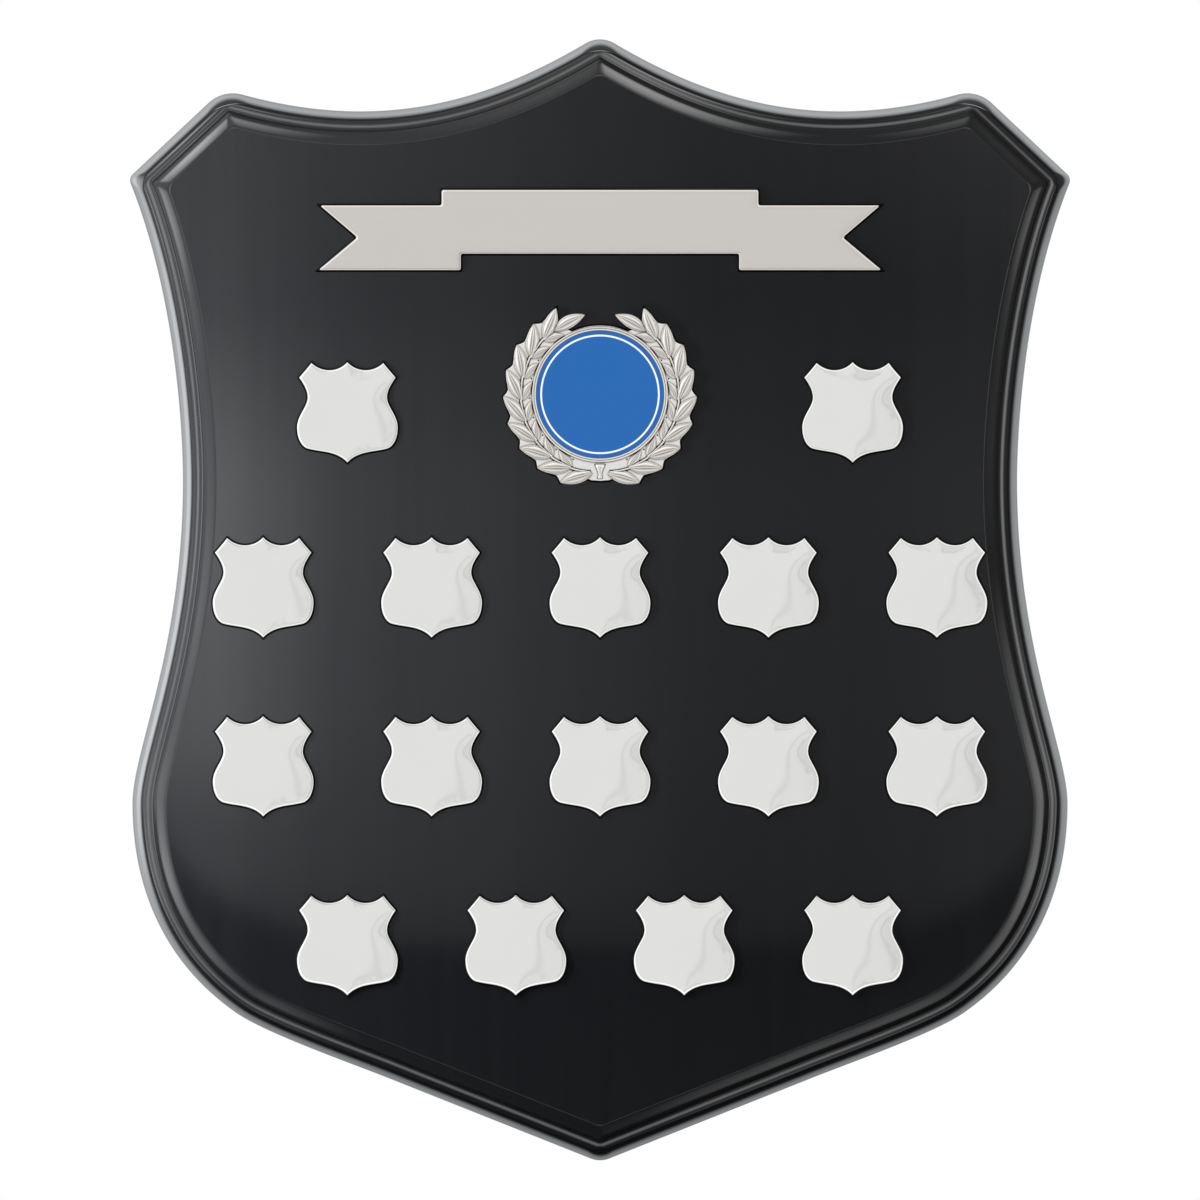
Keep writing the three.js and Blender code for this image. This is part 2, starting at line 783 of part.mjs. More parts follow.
function wreath() {
  const leaves = right_branch_leaves();
  const stem = prism(stem_outline(), 0, stem_height);
  const pieces = [
    prism(wreath_plate_outline(), 0, wreath_plate_thickness),
    prism(circle_outline(bezel_radius, round_steps), 0, bezel_height),
    prism(tie_outline(), 0, tie_height),
    stem,
    mirrored_geometry(stem),
    ...leaves,
    ...leaves.map(mirrored_geometry),
  ];
  const seat = prism(
    circle_outline(seat_radius, round_steps),
    wreath_plate_thickness,
    bezel_height + cut_overrun,
  );
  const tape_recess = prism(
    circle_outline(wreath_tape_diameter / 2 + fit_gap, round_steps),
    -cut_overrun,
    wreath_tape_thickness,
  );
  return to_geometry(joined(pieces).subtract(to_solid(seat)).subtract(to_solid(tape_recess)));
}

function round_insert() {
  const radius = insert_diameter / 2;
  return loft([
    { outline: circle_outline(radius, round_steps), out: 0 },
    { outline: circle_outline(radius, round_steps), out: insert_thickness - insert_edge_break },
    { outline: circle_outline(radius - insert_edge_break, round_steps), out: insert_thickness },
  ]);
}

// Assembly

place('shield_board', shield_board(), black_lacquer, 0, 0, 0);

place('keyhole_hanger', hanger_plate(), zinc_steel, 0, hanger_up, 0);
place('hanger_screw_top', hanger_screw(), zinc_steel, 0, hanger_up + hanger_screw_ups[0], 0);
place('hanger_screw_bottom', hanger_screw(), zinc_steel, 0, hanger_up + hanger_screw_ups[1], 0);

const ribbon = pressed_plate(ribbon_outline, ribbon_depth, ribbon_sheet, ribbon_edge_roll);
place('ribbon_plate', ribbon, bright_silver, 0, ribbon_up, board_thickness);
for (const [name, side] of [['ribbon_tape_left', -1], ['ribbon_tape_right', 1]]) {
  const outline = rounded_rectangle(ribbon_tape_width, ribbon_tape_height, ribbon_tape_radius, 2);
  const tape = prism(outline, 0, ribbon_depth - ribbon_sheet);
  place(name, tape, white_foam, side * ribbon_tape_across, ribbon_up, board_thickness);
}

place('wreath_holder', wreath(), cast_silver, 0, wreath_up, board_thickness);
const wreath_tape = prism(circle_outline(wreath_tape_diameter / 2, round_steps), 0, wreath_tape_thickness);
place('wreath_tape', wreath_tape, white_foam, 0, wreath_up, board_thickness);
const insert_film = prism(circle_outline(insert_film_diameter / 2, round_steps), 0, insert_film_thickness);
place('insert_film', insert_film, clear_film, 0, wreath_up, board_thickness + wreath_plate_thickness);
const insert_out = board_thickness + wreath_plate_thickness + insert_film_thickness;
place('round_insert', round_insert(), printed_blue, 0, wreath_up, insert_out);

const name_shield = pressed_plate(
  name_shield_outline,
  name_shield_depth,
  name_shield_sheet,
  name_shield_edge_roll,
);
const name_pad = prism(
  rounded_rectangle(name_pad_width, name_pad_height, name_pad_radius, 2),
  0,
  name_shield_depth - name_shield_sheet,
);
const row_ups = [top_row_up, lowest_row_up + row_pitch * 2, lowest_row_up + row_pitch, lowest_row_up];
let name_count = 0;
row_column_shares.forEach((columns, row) => {
  for (const column of columns) {
    name_count += 1;
    const number = String(name_count).padStart(2, '0');
    const across = column * column_pitch;
    place(`name_shield_${number}`, name_shield, bright_silver, across, row_ups[row], board_thickness);
    place(`name_pad_${number}`, name_pad, white_foam, across, row_ups[row], board_thickness);
  }
});

export default plaque;
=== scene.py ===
# %% [markdown]
# # A perpetual honour shield
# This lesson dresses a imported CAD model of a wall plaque: a black lacquered board in the outline
# of a shield, with a moulded rim, a pressed silver ribbon, a cast laurel wreath around a printed
# disc, and sixteen small name shields. Sizes and places are those of the CAD model, so nothing here
# is moved to fit. Each step says what the piece is on the real object, how it could be made, and
# why one way won.

# %% Load the frame and keep its box
import math

import bmesh
import bpy
import numpy as np
from mathutils import Matrix, Vector
from mathutils.geometry import delaunay_2d_cdt


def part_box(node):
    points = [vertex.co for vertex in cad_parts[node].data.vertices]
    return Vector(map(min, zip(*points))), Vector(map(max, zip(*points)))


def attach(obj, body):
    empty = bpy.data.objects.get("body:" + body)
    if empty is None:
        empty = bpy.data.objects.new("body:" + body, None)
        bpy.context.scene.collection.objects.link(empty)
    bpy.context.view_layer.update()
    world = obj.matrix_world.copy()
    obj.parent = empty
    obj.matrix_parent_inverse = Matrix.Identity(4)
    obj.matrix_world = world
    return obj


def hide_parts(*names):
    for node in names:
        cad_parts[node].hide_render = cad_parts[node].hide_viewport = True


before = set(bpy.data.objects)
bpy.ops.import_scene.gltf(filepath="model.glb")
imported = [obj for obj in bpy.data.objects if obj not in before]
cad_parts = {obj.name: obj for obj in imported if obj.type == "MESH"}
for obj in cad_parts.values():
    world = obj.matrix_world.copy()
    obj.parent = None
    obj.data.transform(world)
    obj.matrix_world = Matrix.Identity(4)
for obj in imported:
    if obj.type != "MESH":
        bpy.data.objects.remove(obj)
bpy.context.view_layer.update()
MM = 0.001
BODY = "root"
print("nodes in the frame:", len(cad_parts))

# %% [markdown]
# ## Small tools
# Every finished piece is an object at the origin with its place in its mesh. A piece is easiest to
# draw in the plane of the plaque, across and up, with a third number for how far it stands out of
# the wall. One helper turns such points into Blender's axes, so the rest can think in plaque terms.

# %% Points of the plaque's plane become points of the world


def on_plaque(across, up, out):
    """Millimetres across, up and out of the wall, as a point in metres."""
    return (across * MM, -out * MM, up * MM)


def tell(piece):
    size = [round(side / MM, 1) for side in piece.dimensions]
    print(f"{piece.name}: {len(piece.data.polygons)} faces, {size} mm")


# %% Node trees are wired in one call for each node


def add_node(tree, kind, inputs=None, **settings):
    """Adds a node; an input is a plain value, or the output socket that feeds it."""
    node = tree.nodes.new(kind)
    for name, value in settings.items():
        setattr(node, name, value)
    for socket, value in (inputs or {}).items():
        if isinstance(value, bpy.types.NodeSocket):
            tree.links.new(value, node.inputs[socket])
        else:
            node.inputs[socket].default_value = value
    return node


def math_node(tree, operation, first, second=0.0, third=0.0):
    values = {0: first, 1: second, 2: third}
    return add_node(tree, "ShaderNodeMath", values, operation=operation).outputs[0]


def map_range(tree, value, low, high, start=0.0, end=1.0, way="LINEAR"):
    """Goes from low to high as the value goes from start to end, and stays there beyond."""
    inputs = {"Value": value, "From Min": start, "From Max": end, "To Min": low, "To Max": high}
    return add_node(tree, "ShaderNodeMapRange", inputs, interpolation_type=way).outputs["Result"]


def mix_levels(tree, factor, first, second):
    return add_node(tree, "ShaderNodeMix", {"Factor": factor, "A": first, "B": second}).outputs[0]


def vector_node(tree, operation, first, second):
    vectors = {0: first, 1: second}
    return add_node(tree, "ShaderNodeVectorMath", vectors, operation=operation).outputs[0]


def length_of(tree, vector):
    return add_node(tree, "ShaderNodeVectorMath", {0: vector}, operation="LENGTH").outputs["Value"]


# %% [markdown]
# ## The shield board
# The real board is fibreboard, routed round its edge with a moulding bit and then lacquered. Its
# outline is a mirrored run of smooth curves with rounded corners. A bevel modifier can't give the
# moulding its exact section, and a curve with a bevel profile folds at the corners. So the board is
# a stack of rings: each ring is the outline moved in by some distance, with its corners rounded by
# true arcs, and raised to the height that the moulding has there.

# %% Sizes of the outline. Its curves are given in shares of half the width and half the height.
BOARD_WIDTH = 352
BOARD_HEIGHT = 420
BOARD_THICKNESS = 18

CROWN_SHARES = [(0, 1.0095), (0.2426, 0.8829), (0.4852, 0.829), (0.8023, 0.9124)]
SIDE_SHARES = [
    [(1.0045, 0.7529), (0.897, 0.5333), (0.8885, 0.275), (0.8885, 0.2138)],
    [(0.8885, 0.2138), (0.8885, -0.0876), (0.996, -0.269), (0.996, -0.3629)],
    [(0.996, -0.3629), (0.996, -0.4833), (0.9523, -0.6329), (0.7756, -0.7367)],
]
FLANK_END_SHARES = (0.4517, -0.8533)
TIP_SHARES = (0, -1.0038)
FLANK_HANDLE_SHARES = (0.35, 0.189)

APEX_RADIUS = 10.7
CROWN_RADIUS = 13.5
SIDE_RADIUS = 3.3
TIP_RADIUS = 9.5
RIM_SOFT_RADIUS = 7

# Place across the rim, share of a corner's own radius, and share of the soft radius
RIM_CORNER_SHARES = [
    (0, 1, 0),
    (0.26, 1, 0.55),
    (0.44, 0.08, 0.2),
    (0.56, 0, 0.25),
    (0.82, 0, 0.5),
    (1, 0, 0.65),
]

# %% The moulding's section, as a chain of arcs. Each row holds a length and the slope at its end.
RIM_WIDTH = 13
BACK_EDGE_BREAK = 0.6
BACK_EDGE_STEPS = 4
RIM_START_SLOPE = 90
RIM_ARCS = [
    (4.0, 70),
    (5.2, 54),
    (2.0, 5.5),
    (1.2, 2.2),
    (1.1, 5),
    (0.45, 40),
    (0.3, 40),
    (0.9, 22),
    (1.0, 14),
    (1.2, 10),
    (2.4, 6.5),
]

# %% Curves are sampled finely, with the length along them and the direction inwards


def cubic(points, steps):
    """Points along a cubic Bezier curve."""
    first, second, third, last = (np.array(point, float) for point in points)
    place = np.linspace(0, 1, steps + 1)[:, None]
    left = 1 - place
    return (
        first * left**3
        + second * 3 * left**2 * place
        + third * 3 * left * place**2
        + last * place**3
    )


class Run:
    """A smooth run of the outline that can be read at any share of its length."""

    def __init__(self, points):
        keep = np.append(True, np.linalg.norm(np.diff(points, axis=0), axis=1) > 1e-9)
        self.points = points[keep]
        steps = np.diff(self.points, axis=0)
        lengths = np.linalg.norm(steps, axis=1)
        self.shares = np.append(0, np.cumsum(lengths)) / lengths.sum()
        along = np.gradient(self.points, self.shares, axis=0)
        along /= np.linalg.norm(along, axis=1)[:, None]
        self.inward = np.stack([along[:, 1], -along[:, 0]], axis=1)

    def normal(self, share):
        normal = np.stack([np.interp(share, self.shares, self.inward[:, k]) for k in (0, 1)], -1)
        return normal / np.linalg.norm(normal, axis=-1, keepdims=True)

    def inset(self, share, distance):
        point = np.stack([np.interp(share, self.shares, self.points[:, k]) for k in (0, 1)], -1)
        return point + self.normal(share) * distance


RUN_STEPS = 1500
half_board = np.array([BOARD_WIDTH, BOARD_HEIGHT]) / 2
crown_run = Run(cubic(CROWN_SHARES * half_board, RUN_STEPS))

flank_start = SIDE_SHARES[2][3] * half_board
flank_end = FLANK_END_SHARES * half_board
tip = TIP_SHARES * half_board
into_flank = flank_start - SIDE_SHARES[2][2] * half_board
back_up_flank = flank_end - tip
flank = [
    flank_start,
    flank_start + into_flank * FLANK_HANDLE_SHARES[0],
    flank_end + back_up_flank * FLANK_HANDLE_SHARES[1],
    flank_end,
]
side_curves = [cubic(shares * half_board, RUN_STEPS) for shares in SIDE_SHARES]
side_curves += [cubic(flank, RUN_STEPS), np.linspace(flank_end, tip, RUN_STEPS)]
side_run = Run(np.concatenate(side_curves))
print("half outline:", len(crown_run.points) + len(side_run.points), "samples")

# %% One ring of the board at a distance in from the outline
crown_corner = crown_run.points[-1]
shoulder_along = side_run.points[0] - crown_corner
shoulder_along /= np.linalg.norm(shoulder_along)
shoulder_inward = np.array([shoulder_along[1], -shoulder_along[0]])
BISECTIONS = 40


def turning_place(test):
    """The share of a run where a test turns positive."""
    low, high = 0.0, 1.0
    for _ in range(BISECTIONS):
        middle = (low + high) / 2
        low, high = (low, middle) if test(middle) > 0 else (middle, high)
    return (low + high) / 2


def on_circle(angles):
    return np.stack([np.cos(angles), np.sin(angles)], axis=1)


def mirrored(right_half):
    """A closed ring, anticlockwise seen from the front, from its right half, top to foot."""
    left_half = right_half[1:-1][::-1] * (-1, 1)
    return np.concatenate([right_half, left_half])[::-1]


def corner_arc(centre, from_normal, to_normal, radius, steps):
    start = math.atan2(-from_normal[1], -from_normal[0])
    turn = math.atan2(
        from_normal[0] * to_normal[1] - from_normal[1] * to_normal[0],
        float(np.dot(from_normal, to_normal)),
    )
    return centre + radius * on_circle(start + turn * np.linspace(0, 1, steps + 1))


def corner_radii(inset):
    """Radii of the apex, crown, side and tip corners, from the table of shares."""
    places, own_shares, soft_shares = zip(*RIM_CORNER_SHARES)
    own = np.interp(inset / RIM_WIDTH, places, own_shares)
    soft = np.interp(inset / RIM_WIDTH, places, soft_shares) * RIM_SOFT_RADIUS
    return [radius * own + soft for radius in (APEX_RADIUS, CROWN_RADIUS, SIDE_RADIUS, TIP_RADIUS)]


def from_shoulder(point):
    return float(np.dot(point - crown_corner, shoulder_inward))


CROWN_STEPS = 60
SIDE_STEPS = 190
FULL_CORNER_STEPS = 16
HALF_CORNER_STEPS = 10


def board_ring(inset):
    """A closed ring, anticlockwise seen from the front, with as many points at any inset."""
    apex, crown, side, foot = corner_radii(inset)
    crown_start = turning_place(lambda t: crown_run.inset(t, inset + apex)[0])
    crown_end = turning_place(
        lambda t: inset + crown - from_shoulder(crown_run.inset(t, inset + crown))
    )
    side_start = turning_place(
        lambda t: from_shoulder(side_run.inset(t, inset + side)) - inset - side
    )
    side_end = turning_place(lambda t: -side_run.inset(t, inset + foot)[0])
    middle = np.array([0, 1])
    crown_places = np.linspace(crown_start, crown_end, CROWN_STEPS + 1)[1:-1]
    side_places = np.linspace(side_start, side_end, SIDE_STEPS + 1)[1:-1]
    centres = [
        crown_run.inset(crown_start, inset + apex) * middle,
        crown_run.inset(crown_end, inset + crown),
        side_run.inset(side_start, inset + side),
        side_run.inset(side_end, inset + foot) * middle,
    ]
    normals = [crown_run.normal(crown_start), crown_run.normal(crown_end)]
    normals += [side_run.normal(side_start), side_run.normal(side_end)]
    right_half = np.concatenate([
        corner_arc(centres[0], -middle, normals[0], apex, HALF_CORNER_STEPS),
        crown_run.inset(crown_places, inset),
        corner_arc(centres[1], normals[1], shoulder_inward, crown, FULL_CORNER_STEPS),
        corner_arc(centres[2], shoulder_inward, normals[2], side, FULL_CORNER_STEPS),
        side_run.inset(side_places, inset),
        corner_arc(centres[3], normals[3], middle, foot, HALF_CORNER_STEPS),
    ])
    right_half[[0, -1], 0] = 0
    return mirrored(right_half)


outer_ring = board_ring(0)
print("one ring:", len(outer_ring), "points,", np.ptp(outer_ring, axis=0).round(2), "mm")

# %% The moulding's section, walked from the outline to the face
DEGREES_FOR_STEP = 2.5
ARC_STEPS_AT_MOST = 9


def chain_of_arcs(slope, arcs, degrees_for_step):
    """Points along arcs that follow one another. Each has a length and the slope at its end."""
    points = [np.zeros(2)]
    for length, end_slope in arcs:
        turn = end_slope - slope
        steps = min(ARC_STEPS_AT_MOST, max(2, math.ceil(abs(turn) / degrees_for_step)))
        middles = np.radians(slope + turn * (np.arange(steps) + 0.5) / steps)
        for step in on_circle(middles) * length / steps:
            points.append(points[-1] + step)
        slope = end_slope
    return np.array(points)


def rim_section():
    """Points of the section: how far in from the outline, and how far out of the wall."""
    points = chain_of_arcs(RIM_START_SLOPE, RIM_ARCS, DEGREES_FOR_STEP)
    points[:, 0] *= RIM_WIDTH / points[-1, 0]
    points[:, 1] += BOARD_THICKNESS - points[-1, 1]
    third = BACK_EDGE_BREAK / 3
    back_edge = [(BACK_EDGE_BREAK, 0), (third, 0), (0, third), (0, BACK_EDGE_BREAK)]
    return np.concatenate([cubic(back_edge, BACK_EDGE_STEPS), points])


section = rim_section()
print("section:", len(section), "points across the rim")

# %% Rings skinned to a closed solid. Flat areas with holes are filled by one tool.


def ring_vertices(bm, ring, out):
    outs = np.broadcast_to(out, len(ring))
    return [bm.verts.new(on_plaque(x, z, y)) for (x, z), y in zip(ring, outs)]


def skin(bm, lower, upper, smooth=True):
    """Faces between two rings of equal count, each anticlockwise seen from the front."""
    faces = []
    for index, corner in enumerate(lower):
        beside = (index + 1) % len(lower)
        faces.append(bm.faces.new([corner, lower[beside], upper[beside], upper[index]]))
        faces[-1].smooth = smooth
    return faces


def skin_stack(bm, rings):
    """Faces between each ring of a stack and the next, from the back to the front."""
    return sum((skin(bm, lower, upper) for lower, upper in zip(rings, rings[1:])), [])


def fill_flat(bm, rings, out_normal):
    """Fills the plane between an outer ring and any rings inside it."""
    edges = []
    for ring in rings:
        for pair in zip(ring, ring[1:] + ring[:1]):
            edges.append(bm.edges.get(pair) or bm.edges.new(pair))
    made = bmesh.ops.triangle_fill(
        bm, use_beauty=True, use_dissolve=False, edges=edges, normal=out_normal
    )
    faces = [item for item in made["geom"] if isinstance(item, bmesh.types.BMFace)]
    for face in faces:
        face.normal_update()
        if face.normal.dot(out_normal) < 0:
            face.normal_flip()
        face.smooth = False
    return faces


def piece_from(bm, name):
    mesh = bpy.data.meshes.new(name)
    bm.to_mesh(mesh)
    bm.free()
    piece = bpy.data.objects.new(name, mesh)
    bpy.context.scene.collection.objects.link(piece)
    return piece


TO_FRONT = Vector((0, -1, 0))
TO_BACK = Vector((0, 1, 0))

# %% [markdown]
# The back of the board is routed for a keyhole hanger: a shallow recess with round ends for the
# plate, a deeper slot behind it for the head of the wall screw, and two holes for the hanger's own
# screws. A boolean would cut them too, but on a flat back it is cleaner to fill between loops.

# %% Sizes of the hanger and its recess, in millimetres
FIT_GAP = 0.3
HANGER_UP = 0.7238 * BOARD_HEIGHT / 2
HANGER_WIDTH = 16
HANGER_HEIGHT = 48
HANGER_THICKNESS = 1.5
HANGER_SCREW_FROM_END = 5
HANGER_SCREW_UP = HANGER_HEIGHT / 2 - HANGER_SCREW_FROM_END
KEYHOLE_DIAMETER = 10
KEYHOLE_DOWN = 5
KEYSLOT_WIDTH = 5
KEYSLOT_UP = 6
HEAD_ROOM_WIDTH = 13
HEAD_ROOM_DEPTH = 7
SCREW_DIAMETER = 3
SCREW_HOLE_END = 11.8


def slot_ring(width, bottom, top, steps):
    """A ring with round ends whose centres lie at bottom and top."""
    arc = on_circle(np.linspace(0, math.pi, steps + 1)) * width / 2
    return np.concatenate([arc + (0, top), -arc + (0, bottom)])


def circle_ring(radius, steps):
    return on_circle(np.linspace(0, 2 * math.pi, steps, endpoint=False)) * radius


# %% Build the board
ARC_STEPS = 24


def hanger_ring(grow):
    """The outline of the hanger, grown on all sides."""
    end_centre = HANGER_HEIGHT / 2 - HANGER_WIDTH / 2
    return slot_ring(HANGER_WIDTH + grow * 2, -end_centre, end_centre, ARC_STEPS) + (0, HANGER_UP)


def build_board():
    bm = bmesh.new()
    loops = [ring_vertices(bm, board_ring(inset), out) for inset, out in section]
    skin_stack(bm, loops)
    face = bm.faces.new(loops[-1])
    face.smooth = False
    recess = hanger_ring(FIT_GAP)
    room = slot_ring(HEAD_ROOM_WIDTH, -KEYHOLE_DOWN, KEYSLOT_UP, ARC_STEPS) + (0, HANGER_UP)
    recess_depth = HANGER_THICKNESS + FIT_GAP
    mouth = ring_vertices(bm, recess, 0)
    floor = ring_vertices(bm, recess, recess_depth)
    skin(bm, floor, mouth)
    room_mouth = ring_vertices(bm, room, recess_depth)
    room_floor = ring_vertices(bm, room, recess_depth + HEAD_ROOM_DEPTH)
    skin(bm, room_floor, room_mouth)
    fill_flat(bm, [room_floor], TO_BACK)
    holes = []
    for screw_up in (HANGER_SCREW_UP, -HANGER_SCREW_UP):
        hole = circle_ring(SCREW_DIAMETER / 2 + FIT_GAP, ARC_STEPS) + (0, HANGER_UP + screw_up)
        holes.append(ring_vertices(bm, hole, recess_depth))
        bottom = ring_vertices(bm, hole, SCREW_HOLE_END)
        skin(bm, bottom, holes[-1])
        fill_flat(bm, [bottom], TO_BACK)
    fill_flat(bm, [floor, room_mouth, *holes], TO_BACK)
    fill_flat(bm, [loops[0], mouth], TO_BACK)
    return piece_from(bm, "shield_board_lacquered")


board = build_board()
tell(board)

# %% [markdown]
# ## Black lacquer
# High gloss lacquer is a near black, almost smooth dielectric: nearly all that the eye sees on it
# is reflection. A plain black with low roughness looks like plastic, so the roughness drifts a
# little in long upright streaks, left by polishing, and a very weak bump gives the faint wave of a
# sprayed coat.

# %% Small tools for finishes. Every finish starts from a point's place on its own piece


def new_finish(name, **shader_values):
    """A material, its tree, its shader with plain values on their own sockets, and the place."""
    material = bpy.data.materials.new(name)
    material.use_nodes = True
    tree = material.node_tree
    shader = tree.nodes["Principled BSDF"]
    for socket, value in shader_values.items():
        shader.inputs[socket.replace("_", " ")].default_value = value
    return material, tree, shader, add_node(tree, "ShaderNodeTexCoord").outputs["Object"]


def finished(material, shader, **outputs):
    """Links outputs to the sockets of the shader that bear their names. Returns the material."""
    tree = material.node_tree
    for socket, output in outputs.items():
        tree.links.new(output, shader.inputs[socket.replace("_", " ")])
    print(f"{material.name}: {len(tree.nodes)} nodes")
    return material


def noise(tree, place, scale, detail):
    inputs = {"Vector": place, "Scale": scale, "Detail": detail}
    return add_node(tree, "ShaderNodeTexNoise", inputs).outputs[0]


def stretched(tree, place, scale):
    return add_node(tree, "ShaderNodeMapping", {"Vector": place, "Scale": scale}).outputs[0]


def bump(tree, height, strength, depth):
    """A relief that is too fine to model. Its depth is in millimetres."""
    inputs = {"Height": height, "Strength": strength, "Distance": depth * MM}
    return add_node(tree, "ShaderNodeBump", inputs).outputs[0]


def mix_colours(tree, factor, first, second):
    """Mixes two colours; each is a plain colour, or the output socket that feeds it."""
    first, second = (
        colour if isinstance(colour, bpy.types.NodeSocket) else (*colour, 1)
        for colour in (first, second)
    )
    inputs = {0: factor, 6: first, 7: second}
    return add_node(tree, "ShaderNodeMix", inputs, data_type="RGBA").outputs[2]


# %% The lacquer's material, with fine upright streaks and a faint wave
STREAKS_PER_METRE = (220, 220, 6)
WAVES_PER_METRE = 90
LACQUER_ROUGHNESS = (0.05, 0.07)
LACQUER_BLACKS = (0.0021, 0.0024, 0.003), (0.003, 0.0033, 0.0039)


def lacquer_material():
    material, tree, shader, place = new_finish("black_lacquer", IOR=1.6)
    streaks = noise(tree, stretched(tree, place, STREAKS_PER_METRE), 1, 3)
    wave = noise(tree, place, WAVES_PER_METRE, 1)
    return finished(
        material, shader,
        Base_Color=mix_colours(tree, streaks, *LACQUER_BLACKS),
        Roughness=map_range(tree, streaks, *LACQUER_ROUGHNESS),
        Normal=bump(tree, wave, strength=0.15, depth=0.02),
    )


board.data.materials.append(lacquer_material())
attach(board, BODY)
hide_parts("shield_board")

# %% [markdown]
# ## Name shields
# Sixteen pressed plates of thin silvered sheet hang in rows of two, five, five and four. Pressing
# leaves a rolled edge, and a face that is never quite flat: it swells a little like a pillow, and
# that gives a mirror its life. One master plate is drawn with care. Geometry Nodes then lay it on a
# grid of points, because rows and pitches are numbers that a reader may want to change.

# %% Read the plate's outline from shares of half its size
NAME_SIZE = 38
NAME_DEPTH = 1.75
NAME_PEAK = (0, 1)
NAME_RUNS = [
    ((0.19, 0.79), (0.5, 0.785), (0.71, 0.985)),
    ((0.79, 0.88), (0.88, 0.78), (0.96, 0.685)),
    ((0.88, 0.56), (0.79, 0.44), (0.79, 0.29)),
    ((0.79, 0.12), (1, -0.06), (1, -0.295)),
    ((1, -0.48), (0.94, -0.66), (0.8, -0.72)),
    ((0.52, -0.8), (0.22, -0.76), (0, -1)),
]
NAME_RUN_STEPS = [14, 8, 10, 12, 10, 14]


def name_outline():
    right_half = [np.array([NAME_PEAK])]
    for (first, second, end), steps in zip(NAME_RUNS, NAME_RUN_STEPS):
        right_half.append(cubic([right_half[-1][-1], first, second, end], steps)[1:])
    return mirrored(np.concatenate(right_half) * NAME_SIZE / 2)


def shrunk(ring, distance):
    """Moves every side of a ring inwards, and lets the corners stay sharp."""
    sides = np.roll(ring, -1, axis=0) - ring
    sides /= np.linalg.norm(sides, axis=1)[:, None]
    inward = np.stack([-sides[:, 1], sides[:, 0]], axis=1)
    before = np.roll(inward, 1, axis=0)
    middle = inward + before
    reach = 1 + np.sum(inward * before, axis=1)
    return ring + middle / reach[:, None] * distance


name_ring = name_outline()
print("name shield outline:", len(name_ring), "points,", np.ptp(name_ring, axis=0), "mm")

# %% The rolled edge of a pressed sheet: a steep flank that mirrors the board, then a bright bow
ROLL_START_SLOPE = 68
ROLL_ARCS = [(1.5, 58), (0.12, 34), (0.45, 18), (0.3, 4)]
ROLL_DEGREES_FOR_STEP = 5
EDGE_FLARE = 0.5
# These lowest rings of the flank are painted near black: painted reflection of the board and
# painted shadow
PAINTED_SHADE_RINGS = 4
name_roll = chain_of_arcs(ROLL_START_SLOPE, ROLL_ARCS, ROLL_DEGREES_FOR_STEP) - (EDGE_FLARE, 0)
name_roll[:, 1] += NAME_DEPTH - name_roll[-1, 1]
name_roll = np.concatenate([[(name_roll[0, 0], 0)], name_roll])
print("rolled edge:", len(name_roll), "points,", name_roll[-1].round(2), "mm")

# %% The swell of the face, as a stretched skin under a soft load
ROW_SHARE = 0.866
EDGE_CLEARANCE = 0.6
TINY = 1e-12


def inside(points, ring):
    """Which points lie inside a ring, by counting crossings."""
    following = np.roll(ring, -1, axis=0)
    x, y = points[:, 0][:, None], points[:, 1][:, None]
    spans = (ring[:, 1] > y) != (following[:, 1] > y)
    rise = following[:, 1] - ring[:, 1]
    rise = np.where(rise == 0, TINY, rise)
    crossing = ring[:, 0] + (y - ring[:, 1]) / rise * (following[:, 0] - ring[:, 0])
    return np.sum(spans & (x < crossing), axis=1) % 2 == 1


def skin_points(ring, spacing):
    """Points of a triangular grid that lie inside a ring, clear of its edge."""
    low, high = ring.min(axis=0), ring.max(axis=0)
    rows = np.arange(low[1], high[1], spacing * ROW_SHARE)
    grid = [
        (x + spacing / 2 * (index % 2), y)
        for index, y in enumerate(rows)
        for x in np.arange(low[0], high[0], spacing)
    ]
    grid = np.array(grid)
    grid = grid[inside(grid, ring)]
    gaps = np.linalg.norm(grid[:, None] - ring[None], axis=2).min(axis=1)
    return grid[gaps > spacing * EDGE_CLEARANCE]


def swollen_skin(ring, spacing, swell, lean):
    """Triangles inside a ring, and a height for each of their points that is zero on the ring."""
    points = np.concatenate([ring, skin_points(ring, spacing)])
    count = len(ring)
    edges = [(index, (index + 1) % count) for index in range(count)]
    flat = [Vector(point) for point in points]
    made = delaunay_2d_cdt(flat, edges, [list(range(count))], 1, 1e-6, False)
    triangles = np.array([tuple(face) for face in made[2]])
    triangles = triangles[inside(points[triangles].mean(axis=1), ring)].tolist()
    stiffness = np.zeros((len(points), len(points)))
    for face in triangles:
        for first, second in zip(face, face[1:] + face[:1]):
            stiffness[first, second] = stiffness[second, first] = -1
    stiffness[np.diag_indices(len(points))] = -stiffness.sum(axis=1)
    free = slice(count, len(points))
    load = 1 + lean[0] * points[free, 0] + lean[1] * points[free, 1]
    heights = np.zeros(len(points))
    heights[free] = np.linalg.solve(stiffness[free, free], load)
    return points, triangles, heights * swell / heights.max()


# %% Build the master plate at the middle of the plaque
SHEET = 0.75
SKIN_SPACING = 0.95
NAME_SWELL = 0.5
NAME_LEAN = (0.03, 0.012)


